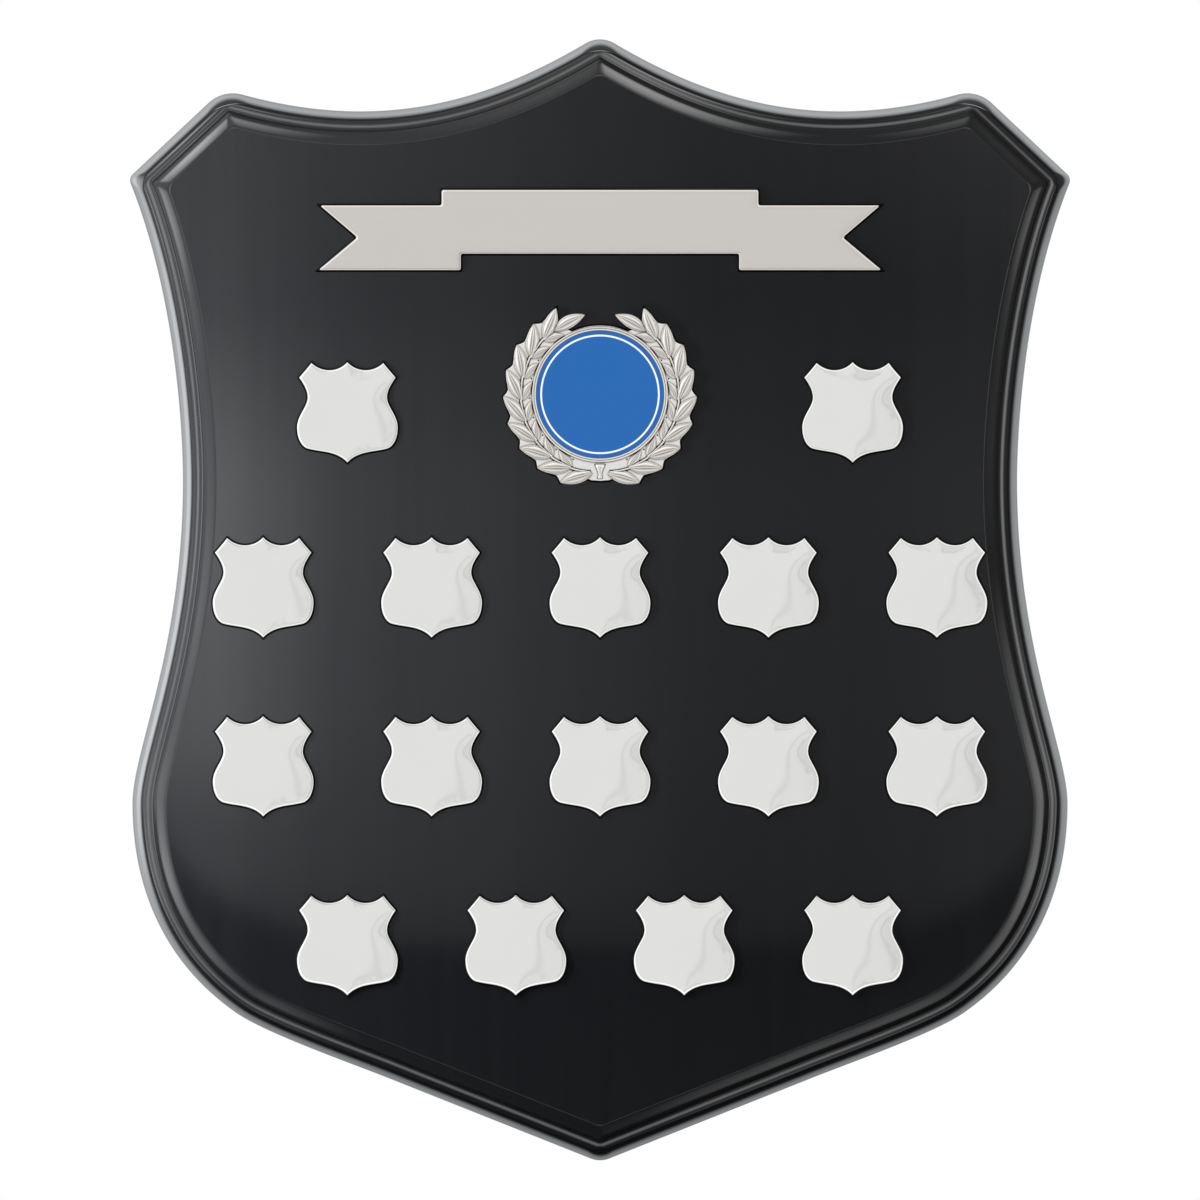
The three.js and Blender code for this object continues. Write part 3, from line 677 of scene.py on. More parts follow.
def pressed_plate(name, ring_at, spacing, swell=0.0, lean=(0, 0)):
    """A thin sheet with a rolled edge, hollow behind. Its ring is read at any inset."""
    bm = bmesh.new()
    dark = bm.verts.layers.float.new("painted_flank_shade")
    loops = [ring_vertices(bm, ring_at(inset), out) for inset, out in name_roll]
    # Marks the lowest rings for the painted near black of the flank
    for vertex in sum(loops[:PAINTED_SHADE_RINGS], []):
        vertex[dark] = 1.0
    skin_stack(bm, loops)
    top_inset, top_out = name_roll[-1]
    top = ring_at(top_inset)
    points, triangles, heights = swollen_skin(top, spacing, swell, lean)
    face = loops[-1] + [
        bm.verts.new(on_plaque(x, z, top_out + height))
        for (x, z), height in zip(points[len(top):], heights[len(top):])
    ]
    for triangle in triangles:
        made = bm.faces.new([face[index] for index in triangle])
        made.smooth = True
    wall = ring_vertices(bm, ring_at(SHEET), 0)
    under = ring_vertices(bm, ring_at(top_inset + SHEET / 2), top_out - SHEET)
    skin(bm, wall, loops[0])
    skin(bm, under, wall)
    fill_flat(bm, [under], TO_BACK)
    bmesh.ops.recalc_face_normals(bm, faces=bm.faces)
    return piece_from(bm, name)


name_plate = pressed_plate(
    "name_shields_pressed",
    lambda inset: shrunk(name_ring, inset),
    SKIN_SPACING,
    NAME_SWELL,
    NAME_LEAN,
)
tell(name_plate)

# %% Rows and pitches, in millimetres
NAME_COLUMNS_PITCH = 63
NAME_ROWS_PITCH = 0.3186 * BOARD_HEIGHT / 2
TOP_ROW_UP = 0.3343 * BOARD_HEIGHT / 2
LOWEST_ROW_UP = -0.6148 * BOARD_HEIGHT / 2
left_edge = -(2 * NAME_COLUMNS_PITCH + NAME_SIZE / 2) * MM
assert abs(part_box("name_shield_03")[0][0] - left_edge) < 0.1 * MM


# %% A small workshop for Geometry Nodes


def nodes_tree(name, numbers):
    """A tree with a geometry input and one number input for each named size."""
    tree = bpy.data.node_groups.new(name, "GeometryNodeTree")
    tree.interface.new_socket("Geometry", in_out="INPUT", socket_type="NodeSocketGeometry")
    for label in numbers:
        tree.interface.new_socket(label, in_out="INPUT", socket_type="NodeSocketFloat")
    tree.interface.new_socket("Geometry", in_out="OUTPUT", socket_type="NodeSocketGeometry")
    inputs = tree.nodes.new("NodeGroupInput")
    return tree, {socket.name: socket for socket in inputs.outputs if socket.name}


def finish_tree(tree, geometry, material):
    real = add_node(tree, "GeometryNodeRealizeInstances", {0: geometry}).outputs[0]
    dressed = add_node(tree, "GeometryNodeSetMaterial", {"Geometry": real, "Material": material})
    tree.links.new(dressed.outputs[0], tree.nodes.new("NodeGroupOutput").inputs[0])


def apply_tree(piece, tree, numbers):
    """Runs the tree on the piece once and keeps the result as a plain mesh."""
    modifier = piece.modifiers.new(tree.name, "NODES")
    modifier.node_group = tree
    for item in tree.interface.items_tree:
        if item.in_out == "INPUT" and item.name in numbers:
            modifier[item.identifier] = float(numbers[item.name])
    depsgraph = bpy.context.evaluated_depsgraph_get()
    mesh = bpy.data.meshes.new_from_object(piece.evaluated_get(depsgraph), depsgraph=depsgraph)
    piece.modifiers.clear()
    piece.data = mesh
    mesh.name = piece.name
    tell(piece)


def combine(tree, across, up, out=0.0):
    """A vector in Blender's axes from plaque terms."""
    back = math_node(tree, "MULTIPLY", out, -1.0)
    return add_node(tree, "ShaderNodeCombineXYZ", {0: across, 1: back, 2: up}).outputs[0]


def row_of_points(tree, count, gap, up, out):
    """A level row of points, centred on the plaque's middle line."""
    start = math_node(tree, "MULTIPLY", gap, -(count - 1) / 2)
    return add_node(tree, "GeometryNodeMeshLine", {
        "Count": count,
        "Start Location": combine(tree, start, up, out),
        "Offset": combine(tree, gap, 0.0),
    }).outputs[0]


def on_name_grid(name, material):
    """A tree that sets its geometry on all sixteen places."""
    labels = ["Column pitch", "Row pitch", "Top row up", "Lowest row up", "Out"]
    tree, inputs = nodes_tree(name, labels)
    pitch, row, top, lowest, out = (inputs[label] for label in labels)
    wide = math_node(tree, "MULTIPLY", pitch, 3.0)
    rows = [row_of_points(tree, 2, wide, top, out)]
    for count, steps_up in ((5, 2.0), (5, 1.0), (4, 0.0)):
        up = math_node(tree, "MULTIPLY_ADD", row, steps_up, lowest)
        rows.append(row_of_points(tree, count, pitch, up, out))
    joined = add_node(tree, "GeometryNodeJoinGeometry")
    for points in reversed(rows):
        tree.links.new(points, joined.inputs[0])
    placed = add_node(tree, "GeometryNodeInstanceOnPoints", {
        "Points": joined.outputs[0], "Instance": inputs["Geometry"],
    })
    finish_tree(tree, placed.outputs[0], material)
    return tree


name_grid = {
    "Column pitch": NAME_COLUMNS_PITCH * MM,
    "Row pitch": NAME_ROWS_PITCH * MM,
    "Top row up": TOP_ROW_UP * MM,
    "Lowest row up": LOWEST_ROW_UP * MM,
    "Out": BOARD_THICKNESS * MM,
}
NAME_NODES = [f"name_shield_{number:02d}" for number in range(1, 17)]
PAD_NODES = [f"name_pad_{number:02d}" for number in range(1, 17)]

# %% [markdown]
# Bright silver plate is a smooth metal. Its colour is a little below white, so that a white card
# in it still reads as silver. An even roughness would look like chrome paint, so a film of
# fingerprints and cloth marks moves it by a hair. The lowest rings of a plate's flank carry an
# attribute that paints them near black: a painted reflection of the black board that a real flank
# mirrors, and a painted contact shadow round the plate.

# %% Silver for the pressed plates, with painted shade on the flank
# The near black painted on the flank: a painted reflection of the board and a painted contact
# shadow
FLANK_SHADE = (0.012, 0.011, 0.01)
TINT_DRIFT = (0.985, 1.015)
FINE_MARKS = 6


def silver(name, colour, roughness, drift, scale, relief):
    material, tree, shader, place = new_finish(name, Metallic=1.0)
    cloud = noise(tree, place, scale, 3)
    marks = noise(tree, place, scale * FINE_MARKS, 2)
    tints = [[part * share for part in colour] for share in TINT_DRIFT]
    # The marked flank rings take the painted near black instead of the silver
    flank = add_node(tree, "ShaderNodeAttribute", attribute_name="painted_flank_shade").outputs["Fac"]
    return finished(
        material, shader,
        Base_Color=mix_colours(tree, flank, mix_colours(tree, cloud, *tints), FLANK_SHADE),
        Roughness=map_range(tree, cloud, roughness - drift, roughness + drift),
        Normal=bump(tree, marks, strength=relief, depth=0.05),
    )


plate_silver = silver(
    "plate_silver", (0.9, 0.905, 0.885), roughness=0.05, drift=0.01, scale=60, relief=0.03
)
name_tree = on_name_grid("name_shield_grid", plate_silver)
apply_tree(name_plate, name_tree, name_grid)
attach(name_plate, BODY)
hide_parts(*NAME_NODES)

# %% [markdown]
# Behind each plate a pad of white foam tape fills the hollow and holds it to the lacquer. It only
# shows from the edge, but it is a real part: a rounded block of foam with an open cell surface. A
# box with a bevel would do as well; a stack of rings reuses the tools at hand.

# %% Foam, with fine cells
CELLS_PER_METRE = 2500
FOAM_WHITES = (0.78, 0.77, 0.74), (0.88, 0.88, 0.86)
PRESSED_RIM = 0.12
FOAM_CORNER_POINTS = 7


def foam_material():
    material, tree, shader, place = new_finish("white_foam", Roughness=0.9)
    cells = add_node(tree, "ShaderNodeTexVoronoi", {"Vector": place, "Scale": CELLS_PER_METRE})
    depth = cells.outputs["Distance"]
    return finished(
        material, shader,
        Base_Color=mix_colours(tree, depth, *FOAM_WHITES),
        Normal=bump(tree, depth, strength=0.6, depth=0.1),
    )


foam = foam_material()


def foam_block(bm, width, height, radius, low, high, at=(0, 0)):
    """A pad with round corners and softly pressed rims."""
    corners = []
    for quarter, (side, rise) in enumerate(((1, 1), (-1, 1), (-1, -1), (1, -1))):
        turn = np.linspace(0, math.pi / 2, FOAM_CORNER_POINTS) + quarter * math.pi / 2
        inner = (side * (width / 2 - radius), rise * (height / 2 - radius))
        corners.append(on_circle(turn) * radius + inner)
    ring = np.concatenate(corners)
    soft = min(PRESSED_RIM, (high - low) / 4)
    levels = [(soft, low), (0, low + soft), (0, high - soft), (soft, high)]
    loops = [ring_vertices(bm, shrunk(ring, inset) + at, out) for inset, out in levels]
    skin_stack(bm, loops)
    for loop, normal in ((loops[0], TO_BACK), (loops[-1], TO_FRONT)):
        fill_flat(bm, [loop], normal)


# Width, height and corner radius
NAME_PAD_SIZE = (22, 20, 3)
bm = bmesh.new()
foam_block(bm, *NAME_PAD_SIZE, 0, NAME_DEPTH - SHEET)
name_pads = piece_from(bm, "name_pads_foam")
apply_tree(name_pads, on_name_grid("name_pad_grid", foam), name_grid)
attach(name_pads, BODY)
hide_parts(*PAD_NODES)

# %% [markdown]
# ## Ribbon
# The title plate is pressed from the same sheet in the form of a ribbon with folded ends. Its edge
# is rolled like those of the shields, so the same tool draws it, but its face is flat and its
# silver a shade warmer and duller.

# %% Build the ribbon
RIBBON_UP = 0.659 * BOARD_HEIGHT / 2
RIBBON_HALF = (105.9, 15.2)
RIBBON_SHARES = [
    (0.561, 1),
    (0.561, 0.618),
    (0.995, 0.618),
    (0.86, -0.183),
    (1, -1),
    (0.49, -1),
    (0.49, -0.594),
]
RIBBON_CORNER = 0.8
CORNER_REACH_AT_MOST = 1.6
CORNER_HANDLE = 0.55
CORNER_STEPS = 6
RIBBON_STEP = 2.5
RIBBON_SPACING = 3.0


def ribbon_ring(inset):
    """The ribbon's ring at an inset, with small round corners and points all along its sides."""
    right_half = np.array(RIBBON_SHARES) * RIBBON_HALF
    outline = np.concatenate([right_half, right_half[::-1] * (-1, 1)])[::-1]
    lengths = np.linalg.norm(np.roll(outline, -1, axis=0) - outline, axis=1)
    corners = shrunk(outline, inset)
    count = len(corners)
    arcs = []
    for index, corner in enumerate(corners):
        before = corners[index - 1] - corner
        after = corners[(index + 1) % count] - corner
        back, ahead = before / np.linalg.norm(before), after / np.linalg.norm(after)
        half_angle = math.acos(float(np.clip(np.dot(back, ahead), -1, 1))) / 2
        reach = RIBBON_CORNER * min(1 / math.tan(half_angle), CORNER_REACH_AT_MOST)
        handle = reach * CORNER_HANDLE
        start, end = corner + back * reach, corner + ahead * reach
        arcs.append(cubic([start, start - back * handle, end - ahead * handle, end], CORNER_STEPS))
    ring = []
    for index, arc in enumerate(arcs):
        ring.append(arc)
        side = arcs[(index + 1) % count][0] - arc[-1]
        pieces = max(2, int(lengths[index] / RIBBON_STEP))
        ring.append(arc[-1] + side * np.linspace(0, 1, pieces + 1)[1:-1, None])
    return np.concatenate(ring)


ribbon = pressed_plate("ribbon_pressed", ribbon_ring, RIBBON_SPACING)
ribbon.data.transform(Matrix.Translation(on_plaque(0, RIBBON_UP, BOARD_THICKNESS)))
ribbon_silver = silver(
    "ribbon_silver", (0.73, 0.7, 0.67), roughness=0.16, drift=0.02, scale=45, relief=0.05
)
ribbon.data.materials.append(ribbon_silver)
tell(ribbon)
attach(ribbon, BODY)
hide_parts("ribbon_plate")

# %% Two lengths of foam tape behind the ribbon
TAPE_SIZE = (40, 14, 1.5)
TAPE_ACROSS = 28
bm = bmesh.new()
for across in (-TAPE_ACROSS, TAPE_ACROSS):
    top = BOARD_THICKNESS + NAME_DEPTH - SHEET
    foam_block(bm, *TAPE_SIZE, BOARD_THICKNESS, top, (across, RIBBON_UP))
ribbon_tapes = piece_from(bm, "ribbon_tapes_foam")
ribbon_tapes.data.materials.append(foam)
tell(ribbon_tapes)
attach(ribbon_tapes, BODY)
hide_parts("ribbon_tape_left", "ribbon_tape_right")

# %% [markdown]
# ## Laurel wreath
# The holder is cast in one piece: a flat plate cut in and out between the leaf tips, two rows of
# leaves on each branch, a stem, a tie at the foot, and a raised bezel for the insert. A leaf is
# drawn once as a grid with a rib, two creases and a thin rim. It could be copied by hand, but
# Geometry Nodes turn it about the wreath's centre by one pitch at a time and mirror the branch, so
# the pitch stays a number. Each point also carries how hollow the casting is there, which the
# finish turns into patina and painted shade.

# %% Sizes of the wreath. Angles run from straight up, in degrees.
WREATH_UP = 0.3662 * BOARD_HEIGHT / 2
WREATH_PLATE = 1.5
LEAF_PITCH = 16.1
LEAF_COUNT = 9
FIRST_TIP_ANGLE = 27
LEAF_SWEEP = 18.6
LEAF_BASE, LEAF_TIP = 29.7, 36.2
INNER_COUNT = 8
INNER_ANGLE, INNER_SWEEP = 46, 15
INNER_BASE, INNER_TIP = 28.9, 25.7
LEAF_EDGE = 2.0
SEAT_RADIUS = 24.72
BEZEL_RADIUS = 25.45
BEZEL_HEIGHT = 3.25


def polar(radius, degrees):
    """A point at an angle from straight up, clockwise."""
    turn = np.radians(degrees)
    return np.stack([radius * np.sin(turn), radius * np.cos(turn)], axis=-1)


# %% One leaf: places across it, with relief and hollowness, from the rib to the rim. Hollowness gives patina and painted shade in the creases.
LEAF_ACROSS = [0, 0.07, 0.16, 0.27, 0.45, 0.66, 0.82, 0.92, 1.0]
LEAF_RELIEF = [1.0, 0.96, 0.84, 0.95, 0.82, 0.5, 0.17, 0.2, 0.0]
LEAF_HOLLOW = [0.05, 0.15, 0.6, 0.3, 0.2, 0.3, 0.5, 0.05, 0.1]
LEAF_STATIONS = 18
LEAF_BELLY = (0.9, 0.8)
CREST_BELLY = (0.85, 0.7)
LEAF_BURIED = 1.2
END_HOLLOW, FOOT_HOLLOW = 0.5, 0.9


def shaded_vertex(bm, hollow, point, out, shade):
    vertex = bm.verts.new(on_plaque(*point, out))
    vertex[hollow] = shade
    return vertex


def belly(place, shape):
    """Rises and falls along a leaf: one power moves its widest place, the other makes it blunt."""
    lean, blunt = shape
    return math.sin(math.pi * place**lean) ** blunt


def draw_leaf(name, base, end, width, crest, bend):
    """A pointed oval leaf on the plate, closed underneath."""
    bm = bmesh.new()
    hollow = bm.verts.layers.float.new("hollow")
    along = end - base
    length = np.linalg.norm(along)
    sideways = np.array([-along[1], along[0]]) / length
    places = (1 - np.cos(np.linspace(0, math.pi, LEAF_STATIONS + 1))) / 2
    across = [-value for value in LEAF_ACROSS[:0:-1]] + LEAF_ACROSS + [1, -1]
    relief = LEAF_RELIEF[:0:-1] + LEAF_RELIEF
    depth = LEAF_HOLLOW[:0:-1] + LEAF_HOLLOW + [FOOT_HOLLOW] * 2
    rows = []
    for place in places[1:-1]:
        half = width / 2 * belly(place, LEAF_BELLY)
        rise = (crest - LEAF_EDGE) * belly(place, CREST_BELLY)
        middle = base + along * place + sideways * bend * 4 * place * (1 - place)
        outs = [LEAF_EDGE + lift * rise for lift in relief] + [LEAF_BURIED] * 2
        rows.append([
            shaded_vertex(bm, hollow, middle + sideways * value * half, out, shade)
            for value, out, shade in zip(across, outs, depth)
        ])
    ends = [
        (
            shaded_vertex(bm, hollow, point, LEAF_EDGE, END_HOLLOW),
            shaded_vertex(bm, hollow, point, LEAF_BURIED, FOOT_HOLLOW),
        )
        for point in (base, end)
    ]
    skin_stack(bm, rows)
    for row, (pole, foot), turned in ((rows[0], ends[0], False), (rows[-1], ends[1], True)):
        *top, right_foot, left_foot = row
        for left, right in zip(top, top[1:]):
            bm.faces.new([pole, left, right] if turned else [pole, right, left])
        bm.faces.new([top[-1], right_foot, foot, pole])
        bm.faces.new([left_foot, top[0], pole, foot])
        bm.faces.new([right_foot, left_foot, foot])
    bmesh.ops.recalc_face_normals(bm, faces=bm.faces)
    for face in bm.faces:
        face.smooth = True
    return piece_from(bm, name)


# %% A branch of leaves: turned about the wreath's centre, mirrored, and set in place


def branch_tree(name, count, material):
    tree, inputs = nodes_tree(name, ["Leaf pitch", "Wreath up", "Out"])
    line = {"Count": count, "Offset": (0, 0, 0)}
    points = add_node(tree, "GeometryNodeMeshLine", line).outputs[0]
    index = tree.nodes.new("GeometryNodeInputIndex").outputs[0]
    turn = math_node(tree, "MULTIPLY", index, inputs["Leaf pitch"])
    turned = add_node(tree, "ShaderNodeCombineXYZ", {1: turn}).outputs[0]
    placed = add_node(tree, "GeometryNodeInstanceOnPoints", {
        "Points": points, "Instance": inputs["Geometry"], "Rotation": turned,
    }).outputs[0]
    right = add_node(tree, "GeometryNodeRealizeInstances", {0: placed}).outputs[0]
    mirror = add_node(tree, "GeometryNodeTransform", {"Geometry": right, "Scale": (-1, 1, 1)})
    left = add_node(tree, "GeometryNodeFlipFaces", {0: mirror.outputs[0]}).outputs[0]
    joined = add_node(tree, "GeometryNodeJoinGeometry")
    for branch in (left, right):
        tree.links.new(branch, joined.inputs[0])
    raised = add_node(tree, "GeometryNodeTransform", {
        "Geometry": joined.outputs[0],
        "Translation": combine(tree, 0.0, inputs["Wreath up"], inputs["Out"]),
    }).outputs[0]
    finish_tree(tree, raised, material)
    return tree


wreath_sizes = {
    "Leaf pitch": math.radians(LEAF_PITCH),
    "Wreath up": WREATH_UP * MM,
    "Out": BOARD_THICKNESS * MM,
}

# %% [markdown]
# Years of polishing leave a casting pale on its heights with patina in its creases, and shade is
# painted over that: the creases, the plate's edge, its openings and the spots shut in by near parts
# go dark. A painted map could say where, but two measures know it already: the hollowness that each
# point carries, and how little open air lies around it. A cloud of noise breaks up the edge between
# the two.

# %% The cast finish: pale silver on the heights, patina and painted shade in the hollows
GRAINS_PER_METRE = 900
BLOTCHES_PER_METRE = 160
BLOTCH_DEPTHS = (-0.06, 0.06)
SHUT_IN_REACH = 0.8
SHUT_IN_LEVELS = (0.85, 0.0)
SHUT_IN_AIR = (0.45, 0.95)
CAST_ROUGHNESS = (0.2, 0.5)
CAST_STOPS = [
    (0.0, (0.94, 0.935, 0.92)),
    (0.3, (0.76, 0.73, 0.69)),
    (0.6, (0.45, 0.42, 0.38)),
    # The last stop is near black: painted shade for the plate's outline and its openings
    (1.0, (0.014, 0.013, 0.012)),
]


def set_stops(ramp, stops):
    """Gives a colour ramp its stops; each is a place from nothing to one, and a colour."""
    for _ in stops[2:]:
        ramp.elements.new(0.5)
    for element, (place, colour) in zip(ramp.elements, stops):
        element.position = place
        element.color = (*colour, 1)


def cast_material():
    material, tree, shader, place = new_finish("cast_silver", Metallic=1.0)
    grain = noise(tree, place, GRAINS_PER_METRE, 3)
    cloud = noise(tree, place, BLOTCHES_PER_METRE, 2)
    hollow = add_node(tree, "ShaderNodeAttribute", attribute_name="hollow").outputs["Fac"]
    tarnish_and_shade_amount = math_node(tree, "ADD", hollow, map_range(tree, cloud, *BLOTCH_DEPTHS))
    reach = {"Distance": SHUT_IN_REACH * MM}
    open_air = add_node(tree, "ShaderNodeAmbientOcclusion", reach, samples=8).outputs["AO"]
    # Painted shade: where little open air lies round a point, the colour goes dark
    painted_occlusion_shade = map_range(tree, open_air, *SHUT_IN_LEVELS, *SHUT_IN_AIR)
    tarnish_and_shade_amount = math_node(tree, "ADD", tarnish_and_shade_amount, painted_occlusion_shade)
    tarnish_and_shade = add_node(tree, "ShaderNodeValToRGB", {0: tarnish_and_shade_amount})
    set_stops(tarnish_and_shade.color_ramp, CAST_STOPS)
    return finished(
        material, shader,
        Base_Color=tarnish_and_shade.outputs[0],
        Roughness=map_range(tree, tarnish_and_shade_amount, *CAST_ROUGHNESS),
        Normal=bump(tree, grain, strength=0.2, depth=0.05),
    )


cast = cast_material()

# %% Outer leaves, inner leaves and the pair at the open top
TOP_LEAF_BASE, TOP_LEAF_END = (29.3, 35.7), (30.3, 10.8)
outer_leaf = (polar(LEAF_BASE, FIRST_TIP_ANGLE + LEAF_SWEEP), polar(LEAF_TIP, FIRST_TIP_ANGLE))
inner_leaf = (polar(INNER_BASE, INNER_ANGLE), polar(INNER_TIP, INNER_ANGLE - INNER_SWEEP))
top_leaf = (polar(*TOP_LEAF_BASE), polar(*TOP_LEAF_END))
leaf_pieces = []
for name, (base, end), width, crest, bend, count in (
    ("laurel_outer_leaves", outer_leaf, 5.0, 3.4, 0.3, LEAF_COUNT),
    ("laurel_inner_leaves", inner_leaf, 3.4, 2.7, -0.3, INNER_COUNT),
    ("laurel_top_leaves", top_leaf, 4.9, 3.4, -0.5, 1),
):
    leaves = draw_leaf(name, base, end, width, crest, bend)
    apply_tree(leaves, branch_tree(name + "_branch", count, cast), wreath_sizes)
    leaf_pieces.append(leaves)

# %% Plate, bezel and seat. A corner is a radius and an angle; a section ends in height and shade.
OPEN_TOP_RADIUS = BEZEL_RADIUS + 0.33
OPEN_TOP_ANGLES = (0, 24, 13)
OPEN_TOP_CORNERS = [(28.6, 28.2), (LEAF_BASE, 31)]
VALLEY_CORNERS = [(34.75, -6.5), (34.4, -4.1), (35.1, -2.05)]
FOOT_CORNERS = [(31.4, 168), (32.3, 174), (32.4, 180)]
PLATE_BACK = 0.05
# The first two rows, on the flank, are shaded full: a painted dark outline and contact shadow round
# the plate
PLATE_SECTION = [
    (-0.65, PLATE_BACK, 1.0),
    (-0.07, WREATH_PLATE - 0.45, 1.0),
    (0.03, WREATH_PLATE - 0.2, 0.0),
    (0.2, WREATH_PLATE, 0.0),
]
TAPE_RECESS_RADIUS = 22.3
TAPE_THICKNESS = 0.75
BEZEL_STEPS = 144
# Shade here is patina and painted shade where the bezel meets the plate and in the seat
BEZEL_SECTION = [
    (BEZEL_RADIUS + 0.06, WREATH_PLATE, 0.0),
    (BEZEL_RADIUS + 0.03, WREATH_PLATE, 0.75),
    (BEZEL_RADIUS, WREATH_PLATE + 0.15, 0.5),
    (BEZEL_RADIUS - 0.02, 2.5, 0.05),
    (BEZEL_RADIUS - 0.07, 2.95, 0.0),
    (BEZEL_RADIUS - 0.16, 3.17, 0.0),
    (BEZEL_RADIUS - 0.29, BEZEL_HEIGHT, 0.0),
    (BEZEL_RADIUS - 0.41, 3.18, 0.05),
    (BEZEL_RADIUS - 0.5, 3.13, 0.1),
    (BEZEL_RADIUS - 0.57, 3.15, 0.05),
    (BEZEL_RADIUS - 0.64, 3.12, 0.0),
    (SEAT_RADIUS, 2.95, 0.1),
    (SEAT_RADIUS, WREATH_PLATE, 0.2),
]
NOTCH_COUNT = 7
NOTCH_ANGLE = 44
NOTCH_CORNERS = [(25.95, -0.8), (25.95, 2.1), (27.05, 1.1)]
NOTCH_LIP = 0.12
NOTCH_LIP_DEPTH = 0.05


def plate_ring():
    """The plate's outline, rounded over the open top and cut in and out between the leaf tips."""
    corners = [(OPEN_TOP_RADIUS, angle) for angle in np.linspace(*OPEN_TOP_ANGLES)]
    corners += OPEN_TOP_CORNERS
    for index in range(LEAF_COUNT):
        tip_angle = FIRST_TIP_ANGLE + LEAF_PITCH * index
        if index > 0:
            corners += [(radius, tip_angle + lead) for radius, lead in VALLEY_CORNERS]
        corners.append((LEAF_TIP, tip_angle))
    right_half = polar(*np.array(corners + FOOT_CORNERS).T)
    right_half[[0, -1], 0] = 0
    return mirrored(right_half)


def notch_ring(angle, side, grow):
    """A small three cornered opening beside the bezel, anticlockwise."""
    corners = np.array([polar(radius, angle + lead) for radius, lead in NOTCH_CORNERS])
    corners = (corners if side < 0 else corners[::-1]) * (side, 1)
    return shrunk(corners, -grow)


def shaded_ring(bm, hollow, ring, out, shade):
    return [shaded_vertex(bm, hollow, point, out, shade) for point in ring]


def build_wreath_plate():
    bm = bmesh.new()
    hollow = bm.verts.layers.float.new("hollow")
    outline = plate_ring()
    loops = [
        shaded_ring(bm, hollow, shrunk(outline, inset), out, shade)
        for inset, out, shade in PLATE_SECTION
    ]
    skin_stack(bm, loops)
    bezel = [
        shaded_ring(bm, hollow, circle_ring(radius, BEZEL_STEPS), out, shade)
        for radius, out, shade in BEZEL_SECTION
    ]
    skin_stack(bm, bezel)
    fill_flat(bm, [bezel[-1]], TO_FRONT)
    tops, backs = [], []
    for side in (1, -1):
        for index in range(1, NOTCH_COUNT + 1):
            angle = NOTCH_ANGLE + LEAF_PITCH * index
            opening = notch_ring(angle, side, 0)
            lip = ring_vertices(bm, notch_ring(angle, side, NOTCH_LIP), WREATH_PLATE)
            # The opening's walls are shaded full: painted shade down the hole
            top = shaded_ring(bm, hollow, opening, WREATH_PLATE - NOTCH_LIP_DEPTH, 1.0)
            back = shaded_ring(bm, hollow, opening, PLATE_BACK, 1.0)
            skin(bm, top, lip)
            skin(bm, back, top)
            tops.append(lip)
            backs.append(back)
    recess = circle_ring(TAPE_RECESS_RADIUS, BEZEL_STEPS)
    mouth = ring_vertices(bm, recess, PLATE_BACK)
    ceiling = ring_vertices(bm, recess, TAPE_THICKNESS)
    skin(bm, ceiling, mouth)
    fill_flat(bm, [ceiling], TO_BACK)
    fill_flat(bm, [loops[-1], bezel[0], *tops], TO_FRONT)
    fill_flat(bm, [loops[0], mouth, *backs], TO_BACK)
    return bm, hollow


bm, hollow = build_wreath_plate()

# %% Stem and tie are drawn on the same casting. Half a section holds offset, height and shade.
# The foot rows of the stem and the tie carry patina and painted shade where they meet the plate
HALF_STEM = [(0, 2.65, 0), (0.36, 2.4, 0.05), (0.5, 1.75, 0.7), (0.72, 1.56, 1), (0.95, 1.54, 0.05)]
HALF_TIE = [(0.85, 2.65, 0), (1.05, 2.2, 0.3), (1.25, 1.56, 0.9)]
TIE_HALF_WIDTHS = {26.2: 1.75, 27.4: 1.3, 28.8: 0.8, 29.9: 0.55, 30.6: 0.6, 31.4: 0.9}
STEM_RADIUS = 29.5
STEM_ANGLES = (37, 173)
STEM_WAVE = 0.3
STEM_WIDTH, STEM_GROWTH = 0.8, 0.35
STEM_STEPS = 150


def draw_strip(bm, hollow, centres, sideways, half_section, widths):
    """A strip whose section is mirrored and varies in width along its way, closed at its ends."""
    left_half = [(-offset, out, shade) for offset, out, shade in half_section[::-1] if offset > 0]
    edge = half_section[-1][0]
    closed = left_half + half_section + [(edge, LEAF_BURIED, 0), (-edge, LEAF_BURIED, 0)]
    rows = [
        [
            shaded_vertex(bm, hollow, centre + side * offset * width, out, shade)
            for offset, out, shade in closed
        ]
        for centre, side, width in zip(centres, sideways, widths)
    ]
    made = skin_stack(bm, rows)
    made += [bm.faces.new(rows[0][::-1]), bm.faces.new(rows[-1])]
    for face in made:
        face.smooth = True
    bmesh.ops.recalc_face_normals(bm, faces=made)


for side in (1, -1):
    angles = np.linspace(*STEM_ANGLES, STEM_STEPS)
    phase = ((angles - FIRST_TIP_ANGLE - LEAF_SWEEP) / LEAF_PITCH) % 1
    centres = polar(STEM_RADIUS + STEM_WAVE * (0.5 - phase), angles) * (side, 1)
    sideways = polar(1.0, angles) * (side, 1)
    widths = STEM_WIDTH + STEM_GROWTH * phase**3
    draw_strip(bm, hollow, centres, sideways, HALF_STEM, widths)

centres = np.array([(0, -radius) for radius in TIE_HALF_WIDTHS])
sideways = np.array([(1, 0)] * len(centres))
draw_strip(bm, hollow, centres, sideways, HALF_TIE, TIE_HALF_WIDTHS.values())

bmesh.ops.translate(bm, vec=on_plaque(0, WREATH_UP, BOARD_THICKNESS), verts=bm.verts)
wreath_plate = piece_from(bm, "wreath_plate_and_bezel")
wreath_plate.data.materials.append(cast)
tell(wreath_plate)
wreath_pieces = [wreath_plate, *leaf_pieces]
for piece in wreath_pieces:
    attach(piece, BODY)
    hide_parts("wreath_holder")

